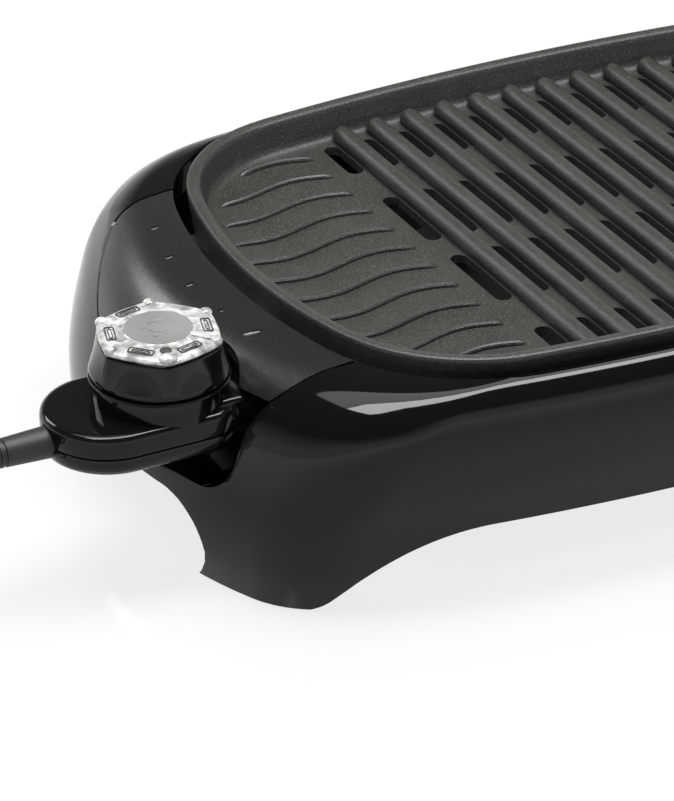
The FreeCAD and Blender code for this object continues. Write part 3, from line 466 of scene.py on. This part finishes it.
def carved(bm, cutters, operation="DIFFERENCE", bevel=0.0):
    """A bmesh after each cutter has been taken out of it, with its new edges rounded."""
    body = temporary(bm, "blank")
    tools = [temporary(cutter, "cutter") for cutter in cutters]
    for tool in tools:
        step = body.modifiers.new("cut", "BOOLEAN")
        step.operation, step.object, step.solver = operation, tool, "EXACT"
    if bevel:
        edge = body.modifiers.new("edge", "BEVEL")
        edge.width, edge.segments, edge.limit_method = bevel * MM, 2, "ANGLE"
        edge.angle_limit = math.radians(50)
    ready = body.evaluated_get(bpy.context.evaluated_depsgraph_get()).to_mesh()
    result = bmesh.new()
    result.from_mesh(ready)
    for thing in [body, *tools]:
        bpy.data.objects.remove(thing)
    return result


def poured_into(target, part):
    """Adds one bmesh's geometry to another."""
    mesh = bpy.data.meshes.new("part")
    part.to_mesh(mesh)
    part.free()
    target.from_mesh(mesh)
    bpy.data.meshes.remove(mesh)


def rounded_box(low, high, radius, segments=4):
    """A box between two corners, in mm, with rounded edges."""
    bm = bmesh.new()
    low, high = Vector(low) * MM, Vector(high) * MM
    size = high - low
    bmesh.ops.create_cube(bm, size=1.0, matrix=Matrix.Translation((low + high) / 2)
                          @ Matrix.Diagonal((*size, 1)))
    bmesh.ops.bevel(bm, geom=bm.edges[:], offset=radius * MM, segments=segments, profile=0.5,
                    affect="EDGES", material=-1)
    return bm


def circle(centre, radius, steps=96):
    """A circle's points."""
    return [Vector((centre.x + radius * math.cos(2 * math.pi * i / steps),
                    centre.y + radius * math.sin(2 * math.pi * i / steps))) for i in range(steps)]


def cylinder(radius, low, high, at=(0.0, 0.0), segments=96):
    """An upright cylinder in mm, as a bmesh."""
    bm = bmesh.new()
    bmesh.ops.create_cone(bm, cap_ends=True, segments=segments, radius1=radius * MM,
                          radius2=radius * MM, depth=(high - low) * MM,
                          matrix=Matrix.Translation((at[0] * MM, at[1] * MM, (low + high) / 2 * MM)))
    return bm


def capped(rings):
    """A closed solid through rings, with a flat face over each open end."""
    bm = skinned(rings)
    open_edges = [e for e in bm.edges if e.is_boundary]
    for height in {round(e.verts[0].co.z, 6) for e in open_edges}:
        rim = [e for e in open_edges if abs(e.verts[0].co.z - height) < 2e-6]
        bmesh.ops.triangle_fill(bm, edges=rim, use_beauty=True)
    return outward(bm)


# %% Outlines of the openings, in mm: across and up
SEAM_FRONT = [(-79.0, 98.0), (-76.4, 88.7), (-74.0, 82.5), (-70.2, 76.0), (-68.4, 68.0)]
SEAM_BACK = [(12.9, 55.6), (24.0, 61.5), (38.0, 66.8), (52.0, 73.0), (66.0, 79.2), (74.8, 84.5),
             (79.0, 98.0)]
left_opening = (curve_points(SEAM_FRONT) + arc_points((-54.5, 55.6), 13.9, 180, 270)
                + arc_points((-1.0, 55.6), 13.9, 270, 360) + curve_points(SEAM_BACK)[1:])
RIGHT_HALF = [(0.0, 63.0), (20.0, 64.0), (38.0, 66.8), (52.0, 73.0), (66.0, 79.2), (74.8, 84.5),
              (79.0, 98.0)]
right_half = curve_points(RIGHT_HALF)
right_opening = [(-y, z) for y, z in reversed(right_half[1:])] + right_half

ARCH_FLAT, ARCH_TOP, ARCH_R = 125.0, 31.0, 75.0
FOOT_ROUND, BELOW = 16.0, -6.0
foot_rise = FOOT_ROUND + ARCH_R - ARCH_TOP
foot_reach = math.sqrt((ARCH_R + FOOT_ROUND) ** 2 - foot_rise ** 2)
arch_drop = math.degrees(math.atan2(foot_rise, foot_reach))
foot_x = ARCH_FLAT + foot_reach
right_half_arch = (arc_points((ARCH_FLAT, ARCH_TOP - ARCH_R), ARCH_R, 90, arch_drop, 24)
                   + arc_points((foot_x, FOOT_ROUND), FOOT_ROUND, 180 + arch_drop, 268, 8)[1:]
                   + [(foot_x, BELOW)])
long_arch = [(-x, z) for x, z in reversed(right_half_arch)] + right_half_arch
END_HALF, END_TOP, END_R = 56.0, 34.0, 20.0
toe = [(END_HALF - 1.4, 9.0), (END_HALF - 4.6, 4.0), (END_HALF - 8.0, 0.0), (END_HALF - 12.0, BELOW)]
end_half = arc_points((END_HALF - END_R, END_TOP - END_R), END_R, 90, 0) + toe
end_arch = [(-y, z) for y, z in reversed(end_half)] + end_half

# %% Base shell with its openings
shell_copy = shell_mesh.copy()
shell = carved(shell_mesh, [prism(left_opening, "X", -260, 110), prism(right_opening, "X", 150, 110),
                            prism(long_arch, "Y", -160, 320), prism(end_arch, "X", -260, 520)],
               bevel=0.7)
outside = [level_ring(level, 0.4) for level in LEVELS[2:6]]
for low, high in (((-225.0, -71.4, 38.7), (-172.0, 15.9, 41.6)),    # the recess: its floor,
                  ((-225.0, -71.4, 38.7), (-172.0, -68.4, 53.7)),   # front wall,
                  ((-225.0, 12.9, 38.7), (-172.0, 15.9, 53.7)),     # back wall
                  ((-175.0, -71.4, 38.7), (-172.0, 15.9, 53.7))):   # and end wall
    poured_into(shell, carved(rounded_box(low, high, 0.8, 2), [capped(outside)], "INTERSECT"))
finished(shell, "moulded_shell", "base", GLOSS_BLACK, ["base_shell"], recalc=False, even=True)

# %% [markdown]
# ## End panels
# Each end panel carries the shell's surface across the seam, so it is cut from the same skin.
# Only its outline differs: about a millimetre inside the seam, with a flat lower edge above the
# control and a shallow scoop that lets the dial turn.

# %% End panels
KNOB = Vector((-222.3, -40.0))
panel_left = (curve_points([(-77.8, 98.0), (-75.2, 88.7), (-73.0, 82.9), (-70.4, 78.3)])
              + [(-14.0, 78.3), (-12.0, 76.3), (-12.0, 62.0)]
              + curve_points([(22.6, 62.0), (38.0, 68.2), (52.0, 74.4), (65.5, 80.5), (73.8, 85.6),
                              (77.8, 98.0)]))
half_right = curve_points([(0.0, 64.4), (20.0, 65.4), (38.0, 68.2), (52.0, 74.4), (65.5, 80.5),
                           (73.8, 85.6), (77.8, 98.0)])
panel_right = [(-y, z) for y, z in reversed(half_right[1:])] + half_right

HEAT_MARKS = [  # x, y, half length, half width: the settings' marks, growing toward the front
    (-181.4, 51.7, 2.6, 1.0), (-186.8, 28.0, 2.6, 1.0), (-189.1, 5.1, 2.3, 1.0),
    (-187.5, -18.3, 1.5, 0.9), (-186.3, -39.4, 5.2, 2.4)]
hole_tool = capped([(plate_outline(GAP), 60.0), (plate_outline(GAP), 99.0)])
for side, outline, start, node_name in (("left", panel_left, -260, "left_end_panel"),
                                        ("right", panel_right, 150, "right_end_panel")):
    skin = carved(shell_copy.copy(), [prism(outline, "X", start, 110)], "INTERSECT")
    tools = [hole_tool.copy()]
    if side == "left":
        tools.append(cylinder(28.4, 78.2, 110.0, KNOB))
        tree = BVHTree.FromBMesh(skin)
        for x, y, along, across in HEAT_MARKS:
            surface = tree.ray_cast(Vector((x, y, 120.0)) * MM, Vector((0, 0, -1)))[0]
            spot = Matrix.Translation(surface + Vector((0, 0, 0.25 * MM)))
            dimple = bmesh.new()
            bmesh.ops.create_uvsphere(
                dimple, u_segments=24, v_segments=12, radius=1.0,
                matrix=spot @ Matrix.Diagonal((along * MM, across * MM, 1.1 * MM, 1)))
            tools.append(dimple)
    skin = carved(skin, tools, bevel=0.9)
    finished(skin, f"{side}_satin_panel", "grid", PANEL_SATIN, [node_name], recalc=False, even=True)

# %% [markdown]
# ## Grill plate
# One aluminium casting: a rim that stands proud of the base, a floor with rounded bars and slots
# through it, and wavy ribs at both ends.  The rim and floor are one skin through rings; the slots
# are cut through and their edges eased, as the coating rounds them on the real one.

# %% Rim and floor
FLOOR, RIM_TOP = 81.2, 94.0
rim_section = [  # offset from the outline, height
    (-10.6, 77.8), (-9.2, 77.0), (-9.2, 76.2), (-8.8, 76.0), (-3.0, 76.0), (-2.4, 76.4),
    (-0.1, 91.6), (-0.05, 92.8), (-0.35, 93.6), (-1.0, 94.0), (-1.9, 94.05), (-3.6, 93.8),
    (-4.7, 93.4), (-5.3, 92.7), (-5.8, 91.2), (-7.2, 84.6), (-7.9, 82.9), (-9.0, 81.8),
    (-10.6, 81.3), (-12.6, FLOOR)]
plate_body = capped([(plate_outline(offset), z) for offset, z in rim_section])

# %% Slots
BAR_PITCH, BAR_COUNT, BAR_R, BAR_LIFT = 15.5, 11, 4.0, 2.0
COLUMNS = [(k - BAR_COUNT / 2) * BAR_PITCH for k in range(BAR_COUNT + 1)]
SLOT_W = 6.8
SLOT_ROWS = [(7.1, 47.0), (70.3, 96.0)]


def slot_outline(x, low, high):
    """A slot with round ends."""
    r = SLOT_W / 2
    turn = [(x + r * math.cos(a), high - r + r * math.sin(a))
            for a in (math.pi * i / 8 for i in range(9))]
    return [Vector(p) for p in turn] + [Vector((x - r * math.cos(a), low + r - r * math.sin(a)))
                                        for a in (math.pi * i / 8 for i in range(9))]


slot_tool = bmesh.new()
for x in COLUMNS:
    for low, high in SLOT_ROWS:
        for a, b in ((low, high), (-high, -low)):
            outline = slot_outline(x, a, b)
            poured_into(slot_tool, capped([(outline, 70.0), (outline, 90.0)]))
plate_body = carved(plate_body, [slot_tool], bevel=0.7)
print("plate floor with", len(COLUMNS) * 4, "slots")

# %% [markdown]
# ### Bars and ribs
# A bar is a long capsule, a ball pulled apart along its length, with its axis 2 mm above the
# floor and its foot sunk in.  A rib is a thin cord of metal on a sine wave, which a bevelled
# curve draws at once.

# %% Bars
def capsule(x, half):
    """A ball stretched along Y."""
    bm = bmesh.new()
    bmesh.ops.create_uvsphere(bm, u_segments=32, v_segments=15, radius=BAR_R * MM,
                              matrix=Matrix.Rotation(math.pi / 2, 4, "X"))
    for sign in (-1, 1):
        bmesh.ops.translate(bm, vec=(0, sign * half * MM, 0),
                            verts=[v for v in bm.verts if v.co.y * sign > 0])
    bmesh.ops.translate(bm, vec=(x * MM, 0, (FLOOR + BAR_LIFT) * MM), verts=bm.verts)
    return bm


RIM_FOOT = 8.2  # where the rim's slope meets the floor
for left, right in zip(COLUMNS, COLUMNS[1:]):
    x = (left + right) / 2
    half = PLATE["half_width"] - RIM_FOOT - x * x / (2 * SIDE_BOW) - BAR_R
    poured_into(plate_body, capsule(x, half))

# %% Wavy ribs
RIB_COUNT, RIB_STEP, RIB_FIRST, RIB_END = 11, 16.8, 89.7, -96.6
RIB_SWING, RIB_WAVE, RIB_SHIFT, RIB_R = 3.5, 62.0, 127.0, 1.25
RIB_Z, RIB_SUNK = FLOOR + 0.45, FLOOR - 0.9


def tube_of(points, radius, name, resolution=3):
    """A bmesh tube along a smooth curve through a few points, in mm."""
    curve = bpy.data.curves.new(name, "CURVE")
    curve.dimensions, curve.bevel_depth, curve.bevel_resolution = "3D", radius * MM, resolution
    curve.use_fill_caps, curve.resolution_u = True, 6
    spline = curve.splines.new("NURBS")
    spline.points.add(len(points) - 1)
    for control, (x, y, z) in zip(spline.points, points):
        control.co = (x * MM, y * MM, z * MM, 1)
    spline.order_u, spline.use_endpoint_u = 4, True
    holder = bpy.data.objects.new(name, curve)
    bpy.context.scene.collection.objects.link(holder)
    mesh = bpy.data.meshes.new_from_object(holder.evaluated_get(
        bpy.context.evaluated_depsgraph_get()))
    bpy.data.objects.remove(holder)
    bm = bmesh.new()
    bm.from_mesh(mesh)
    bpy.data.meshes.remove(mesh)
    return bm


inner_edge = [p for p in plate_outline(-12.0) if p.x < 0]
for k in range(RIB_COUNT):
    y_mid = RIB_FIRST - k * RIB_STEP
    start = min(inner_edge, key=lambda p: abs(p.y - y_mid)).x
    count = max(5, round((RIB_END - start) / 6.0))
    wave = []
    for i in range(count + 1):
        x = start + (RIB_END - start) * i / count
        swing = RIB_SWING * math.sin(2 * math.pi * (x + RIB_SHIFT) / RIB_WAVE)
        wave.append((x, y_mid - 0.8 + swing, RIB_Z))
    wave = ([(wave[0][0] - 0.5, wave[0][1], RIB_SUNK)] + wave
            + [(RIB_END + 0.5, wave[-1][1], RIB_SUNK)])
    for turn in (1, -1):
        poured_into(plate_body, tube_of([(x * turn, y * turn, z) for x, y, z in wave], RIB_R, "rib"))
finished(plate_body, "cast_grill_plate", "grid", NONSTICK, ["grill_plate"], recalc=False, even=True)

# %% [markdown]
# ## Dial
# The dial is a polished black skirt under a clear cap.  It is round at its foot and turns into a
# soft hexagon at the top: six flats between six corners, each of which carries a bead.

# %% Dial skirt
FIRST_CORNER, MARK_ANGLE, POINTER_ANGLE = 14, 254, -46  # degrees about the dial's axis


def lobed(radius, flat, steps=120):
    """A circle flattened between six corners, about the dial's axis; flat runs from 0 to 1."""
    points = []
    for i in range(steps):
        t = 2 * math.pi * i / steps
        off = (t - math.radians(FIRST_CORNER) + math.pi / 6) % (math.pi / 3) - math.pi / 6
        hexagon = math.cos(math.pi / 6) / math.cos(math.pi / 6 - abs(off))
        r = radius * (1.0 - flat + flat * (0.35 + 0.65 * hexagon))
        points.append(KNOB + r * Vector((math.cos(t), math.sin(t))))
    return points


skirt_section = [(3.2, 0, 86.0), (22.6, 0, 86.0), (24.2, 0, 84.1), (24.7, 0, 83.8), (25.1, 0, 84.0),
                 (25.3, 0, 84.7), (25.1, 0.15, 86.0), (24.6, 0.5, 89.0), (24.1, 0.8, 92.6),
                 (23.7, 1.0, 95.4), (23.5, 1.0, 96.3), (23.0, 1.0, 96.75), (3.2, 0.0, 96.8)]
skirt = skinned([(lobed(r, flat), z) for r, flat, z in skirt_section], closed=True)
finished(skirt, "dial_skirt", "knob", CONTROL_BLACK, ["knob_body"], smooth_angle=50.0)

# %% Clear cap
cap_section = [(2.0, 0.0, 96.85), (22.4, 1.0, 96.85), (23.3, 1.0, 97.05), (23.6, 1.0, 97.6),
               (23.3, 1.0, 98.4), (22.4, 1.0, 99.0), (21.4, 0.9, 99.25), (20.6, 0.8, 99.2),
               (14.0, 0.5, 99.65), (13.2, 0.3, 99.75), (12.6, 0.1, 100.15), (12.0, 0.0, 100.3),
               (6.0, 0.0, 100.75), (1.0, 0.0, 100.95)]
cap = capped([(lobed(r, flat), z) for r, flat, z in cap_section])


def on_cap(angle, distance, z):
    """A place on the cap, by its angle and distance from the dial's axis."""
    turn = math.radians(angle)
    return Vector(((KNOB.x + distance * math.cos(turn)) * MM,
                   (KNOB.y + distance * math.sin(turn)) * MM, z * MM))


def bead(angle, distance, z, radii):
    """A flattened ball on the cap, longest along its radius."""
    bm = bmesh.new()
    spot = (Matrix.Translation(on_cap(angle, distance, z))
            @ Matrix.Rotation(math.radians(angle), 4, "Z")
            @ Matrix.Diagonal((*[r * MM for r in radii], 1)))
    bmesh.ops.create_uvsphere(bm, u_segments=24, v_segments=12, radius=1.0, matrix=spot)
    return bm


for corner in range(6):
    poured_into(cap, bead(FIRST_CORNER + 60 * corner, 21.4, 98.5, (2.6, 2.4, 1.9)))
poured_into(cap, bead(MARK_ANGLE, 20.9, 98.9, (3.0, 3.4, 1.9)))
pointer = bmesh.new()
bmesh.ops.create_cube(pointer, size=1.0,
                      matrix=Matrix.Translation(on_cap(POINTER_ANGLE, 14.5, 99.6))
                      @ Matrix.Rotation(math.radians(POINTER_ANGLE), 4, "Z")
                      @ Matrix.Diagonal((14 * MM, 2.4 * MM, 1.5 * MM, 1)))
bmesh.ops.bevel(pointer, geom=pointer.edges[:], offset=0.5 * MM, segments=3, profile=0.5,
                affect="EDGES", material=-1)
poured_into(cap, pointer)
finished(cap, "dial_cap", "knob", CLEAR_CAP, ["knob_cap"], recalc=False)

# %% Frosted disc in the middle of the cap
ARC_R = 4.2
disc = capped([(circle(KNOB, r), z)
               for r, z in ((12.3, 100.1), (12.3, 100.32), (6.0, 100.8), (1.0, 100.98))])
for angle, distance in ((170, 6.0), (235, 7.0), (292, 4.0)):
    poured_into(disc, bead(angle, distance, 100.6, (0.8, 0.8, 0.7)))
poured_into(disc, tube_of([(KNOB.x + ARC_R * math.cos(math.radians(a)),
                            KNOB.y + ARC_R * math.sin(math.radians(a)), 100.85)
                           for a in range(40, 300, 20)], 0.35, "arc"))
finished(disc, "dial_disc", "knob", CAP_FROST, recalc=False)

# %% Printed frames on the cap, one for each setting, and the mark of the off position
INK = dull("ink_screen_printed", "#2a2a2a", "#343434", 0.5, 900.0, 0.00001)


def printed_frame(angle, distance, length, width, line):
    """A thin rounded rectangle drawn round a setting, with its corners eased."""
    bm = bmesh.new()
    bmesh.ops.create_grid(bm, x_segments=1, y_segments=1, size=0.5,
                          matrix=Matrix.Translation(on_cap(angle, distance, 99.5))
                          @ Matrix.Rotation(math.radians(angle + 90), 4, "Z")
                          @ Matrix.Diagonal((length * MM, width * MM, 1, 1)))
    bmesh.ops.bevel(bm, geom=bm.verts[:], offset=0.8 * MM, segments=4, profile=0.5,
                    affect="VERTICES", material=-1)
    bmesh.ops.inset_region(bm, faces=bm.faces[:], thickness=line * MM, use_boundary=True)
    inner = [f for f in bm.faces if all(not e.is_boundary for e in f.edges)]
    bmesh.ops.delete(bm, geom=inner, context="FACES")
    raised = bmesh.ops.extrude_face_region(bm, geom=bm.faces[:])["geom"]
    bmesh.ops.translate(bm, vec=(0, 0, 0.25 * MM),
                        verts=[v for v in raised if isinstance(v, bmesh.types.BMVert)])
    return bm


frames = bmesh.new()
for flat in range(1, 6):
    angle = FIRST_CORNER + 30 + 60 * flat
    poured_into(frames, printed_frame(angle, 17.2, 9.6, 3.6, 0.42))
    poured_into(frames, printed_frame(angle, 17.2, 7.0, 1.4, 0.22))
finished(frames, "dial_print", "knob", INK)
MARK_DISTANCE = 16.0
mark_at = KNOB + Vector((MARK_DISTANCE * math.cos(math.radians(MARK_ANGLE)),
                         MARK_DISTANCE * math.sin(math.radians(MARK_ANGLE))))
spot = capped([(circle(mark_at, r, 24), z) for r, z in ((2.1, 99.2), (2.1, 99.85), (1.7, 100.0))])
finished(spot, "dial_mark", "knob", INK)

# %% [markdown]
# ## Control
# Two polished shells meet at a parting line.  In plan the body is a stadium: a round end for the
# lead, straight flanks, and small corners beside the base.  Above it stands the round pedestal
# that carries the dial, and a neck reaches in under the end panel.  The pedestal's front runs
# flush with the flank, so the body's flat top is left as a crescent that ends in a point.

# %% Control outline
BODY_R, BODY_LEFT, BODY_RIGHT = 24.5, -242.4, -197.0
PARTING, LIP, LOW, PEDESTAL_TOP = 65.4, 74.2, 57.9, 81.6


def stadium(inset, corner=15.0, steps=24):
    """The control's outline, pulled in by an inset."""
    r, right = BODY_R - inset, BODY_RIGHT - inset
    corner = max(corner - inset, 0.5)
    points = []
    for x, y, start in ((right - corner, KNOB.y - r + corner, -90),
                        (right - corner, KNOB.y + r - corner, 0)):
        turns = [math.radians(start + 90 * i / 8) for i in range(9)]
        points += [Vector((x + corner * math.cos(t), y + corner * math.sin(t))) for t in turns]
    points += [Vector((BODY_LEFT + r * math.cos(math.radians(90 + 180 * i / steps)),
                       KNOB.y + r * math.sin(math.radians(90 + 180 * i / steps))))
               for i in range(steps + 1)]
    return points


# %% Upper shell
upper_section = [(2.2, PARTING + 0.1), (0.5, PARTING + 0.12), (0.15, PARTING + 0.4),
                 (0.0, PARTING + 1.2), (0.0, 71.6), (0.3, 72.8), (1.0, 73.7), (2.1, LIP - 0.05),
                 (3.4, LIP), (6.0, LIP), (10.0, LIP), (14.0, LIP), (18.0, LIP), (22.0, LIP)]
upper = capped([(stadium(inset), z) for inset, z in upper_section])
pedestal_section = [(24.4, 68.0), (24.4, 73.2), (24.4, 80.9), (24.2, 81.4), (23.6, PEDESTAL_TOP)]
poured_into(upper, capped([(circle(KNOB, r), z) for r, z in pedestal_section]))
poured_into(upper, rounded_box((-212.0, -59.4, PARTING + 0.1), (-177.1, -20.6, 75.9), 2.0))
finished(upper, "control_upper", "control", CONTROL_BLACK, ["control_upper_shell"], recalc=False)

# %% Lower shell
lower_section = [(9.0, LOW), (4.6, LOW + 0.05), (2.4, LOW + 0.5), (1.0, LOW + 1.5), (0.3, LOW + 3.0),
                 (0.0, LOW + 5.0), (0.0, PARTING - 1.0), (0.25, PARTING - 0.35), (0.6, PARTING - 0.15),
                 (2.2, PARTING - 0.12)]
lower = capped([(stadium(inset), z) for inset, z in lower_section])
poured_into(lower, rounded_box((-212.0, -59.4, LOW + 1.1), (-177.1, -20.6, PARTING - 0.12), 2.0))
finished(lower, "control_lower", "control", CONTROL_BLACK, ["control_lower_shell"], recalc=False)

# %% Collar ring
ring_section = [(7.0, 81.7), (24.4, 81.7), (25.3, 81.9), (25.6, 82.3), (25.4, 82.8), (24.8, 83.05),
                (7.0, 83.1)]
collar = skinned([(circle(KNOB, r), z) for r, z in ring_section], closed=True)
finished(collar, "dial_collar", "control", CONTROL_BLACK, ["knob_collar"])

# %% [markdown]
# ## Lead
# The strain relief tapers away from the control and is ribbed so that it bends evenly.  From its
# end the lead drops to the table and is wound in two layers of two turns beside the griddle,
# where it is put away, with its plug lying past the coil.  All of it is one smooth spline.

# %% Strain relief
RELIEF_START, RELIEF_END, LEAD_Z = BODY_LEFT - BODY_R, -304.0, PARTING


def turned_along_x(section, centre, steps=48):
    """A solid of revolution about an X-wise axis, from (x, radius) pairs in mm."""
    bm = bmesh.new()
    corners = [bm.verts.new((x * MM, centre[0] * MM, (centre[1] + r) * MM)) for x, r in section]
    for a, b in zip(corners, corners[1:]):
        bm.edges.new((a, b))
    bmesh.ops.spin(bm, geom=bm.verts[:] + bm.edges[:], cent=(0, centre[0] * MM, centre[1] * MM),
                   axis=(1, 0, 0), angle=2 * math.pi, steps=steps, use_merge=True)
    return bm


RELIEF_R, RELIEF_TAPER, GROOVES = 5.9, 1.35, 8
relief_section = [(RELIEF_START + 6.0, 3.4), (RELIEF_START + 6.0, 5.7), (RELIEF_START - 0.1, RELIEF_R)]
span = RELIEF_START - RELIEF_END
for i in range(1, GROOVES + 1):
    share = 0.40 + 0.06 * i
    x, r = RELIEF_START - span * share, RELIEF_R - RELIEF_TAPER * share
    relief_section += [(x + 0.9, r), (x + 0.6, r - 0.55), (x - 0.2, r - 0.55), (x - 0.5, r - 0.05)]
relief_section += [(RELIEF_END + 0.4, 4.35), (RELIEF_END, 4.0), (RELIEF_END, 3.3),
                   (RELIEF_START + 6.0, 3.4)]
relief = turned_along_x(relief_section, (KNOB.y, LEAD_Z))
finished(relief, "lead_relief", "control", CORD_RUBBER, ["strain_relief"])

# %% Lead route and coil
LEAD_R, STUB, LAYER, COIL_MID, TAIL = 3.25, 24.0, 6.3, 36.0, 30.0
TABLE_Z = LEAD_R + 0.5  # the lead's axis where it lies on the table
route = [Vector(p) for p in ((RELIEF_END, KNOB.y, LEAD_Z), (-344.0, KNOB.y, LEAD_Z),
                             (-387.0, KNOB.y + 16.0, TABLE_Z), (-381.0, KNOB.y + 79.0, TABLE_Z))]
heading = (route[-1] - route[-2]).normalized()
across = Vector((heading.y, -heading.x, 0))
touch = route[-1] + heading * STUB
centre = touch + across * (COIL_MID + LEAD_R)
first = math.atan2(-across.y, -across.x)
TURN_STEPS = 24
RADII = (COIL_MID + LEAD_R, COIL_MID - LEAD_R, COIL_MID - LEAD_R, COIL_MID + LEAD_R)
coil_points = []
for turn, radius in enumerate(RADII):
    for i in range(TURN_STEPS):
        t = i / TURN_STEPS
        following = RADII[min(turn + 1, len(RADII) - 1)]
        slide = max(0.0, (t - 0.75) * 4)
        r = radius + (following - radius) * slide
        z = TABLE_Z + (LAYER if turn > 1 else 0.0) + (LAYER * slide if turn == 1 else 0.0)
        angle = first - 2 * math.pi * (turn + t)
        coil_points.append(Vector((centre.x + r * math.cos(angle), centre.y + r * math.sin(angle), z)))
coil_end = Vector((touch.x, touch.y, TABLE_Z + LAYER))
tail = [coil_end, coil_end + heading * TAIL * 0.5, coil_end + heading * TAIL]
cord_points = route + coil_points + tail

lead_curve = bpy.data.curves.new("lead", "CURVE")
lead_curve.dimensions, lead_curve.bevel_depth, lead_curve.bevel_resolution = "3D", LEAD_R * MM, 6
lead_curve.resolution_u, lead_curve.use_fill_caps = 8, True
spline = lead_curve.splines.new("NURBS")
spline.points.add(len(cord_points) - 1)
for control, point in zip(spline.points, cord_points):
    control.co = (*(point * MM), 1)
spline.order_u, spline.use_endpoint_u = 3, True
lead = bpy.data.objects.new("lead", lead_curve)
bpy.context.scene.collection.objects.link(lead)
lead_curve.materials.append(CORD_RUBBER)

# %% Lead length, measured along its middle
line_curve = lead_curve.copy()
line_curve.bevel_depth = 0.0
line_holder = bpy.data.objects.new("line", line_curve)
bpy.context.scene.collection.objects.link(line_holder)
line_mesh = bpy.data.meshes.new_from_object(line_holder.evaluated_get(
    bpy.context.evaluated_depsgraph_get()))
middle_line = [v.co for v in line_mesh.vertices]
lead_length = sum((b - a).length for a, b in zip(middle_line, middle_line[1:]))
bpy.data.objects.remove(line_holder)
print("lead length", round(lead_length, 3), "m")
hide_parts("cord_lead")
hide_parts("cord_coil")
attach(lead, "control")

# %% [markdown]
# ## Floor and light
# A pale seamless floor, two long softboxes overhead that lay the highlights on the shoulder and
# the plate, and a small one far behind the control's end, as in a product studio.

# %% Floor
def stage_material():
    """Pale seamless paper, smooth, and bright enough to wash out all but the closest shadow."""
    material, tree, shader, where = finish_of("paper_seamless")
    colour_into(tree, shader, mixed(tree, noise(tree, where, 6.0, 2.0), "#555555", "#5b5b5b"))
    shader.inputs["Roughness"].default_value = 0.14
    shader.inputs["Emission Color"].default_value = (1, 1, 1, 1)
    shader.inputs["Emission Strength"].default_value = 0.8
    return material


floor_mesh = bmesh.new()
bmesh.ops.create_grid(floor_mesh, x_segments=1, y_segments=1, size=6.0)
floor = temporary(floor_mesh, "floor")
floor.data.materials.append(stage_material())

# %% World: a white sweep near the horizon under a dark ceiling, so that the gloss stays black
world = bpy.data.worlds.new("studio")
bpy.context.scene.world = world
world.use_nodes = True
sky = world.node_tree
direction = add(sky, "ShaderNodeTexCoord").outputs["Generated"]
height = add(sky, "ShaderNodeSeparateXYZ", None, Vector=direction).outputs["Z"]
glow = ranged(sky, height, 1.1, 0.14, start=0.1, stop=0.34)
sky.links.new(glow, sky.nodes["Background"].inputs["Strength"])
sky.nodes["Background"].inputs["Color"].default_value = (1, 1, 1, 1)


# %% Softboxes
def softbox(name, place, aim, width, height, power):
    """A rectangular area light with its long side along X, in metres and watts."""
    data = bpy.data.lights.new(name, "AREA")
    data.shape, data.size, data.size_y, data.energy = "RECTANGLE", width, height, power
    made = bpy.data.objects.new(name, data)
    bpy.context.scene.collection.objects.link(made)
    back = (Vector(place) - Vector(aim)).normalized()
    up = back.cross(Vector((1, 0, 0))).normalized()
    axes = Matrix((up.cross(back), up, back)).transposed()
    made.matrix_world = Matrix.Translation(place) @ axes.to_4x4()
    return made


softbox("overhead_front", (-0.10, -0.22, 1.7), (-0.10, -0.22, 0.0), 1.9, 0.5, 58)
softbox("overhead_back", (-0.10, 0.36, 1.7), (-0.10, 0.36, 0.0), 1.9, 0.6, 14)
softbox("back_left", (-0.72, 1.25, 0.98), (-0.18, 0.0, 0.08), 0.5, 0.5, 7)
bpy.context.scene.view_settings.view_transform = "Standard"
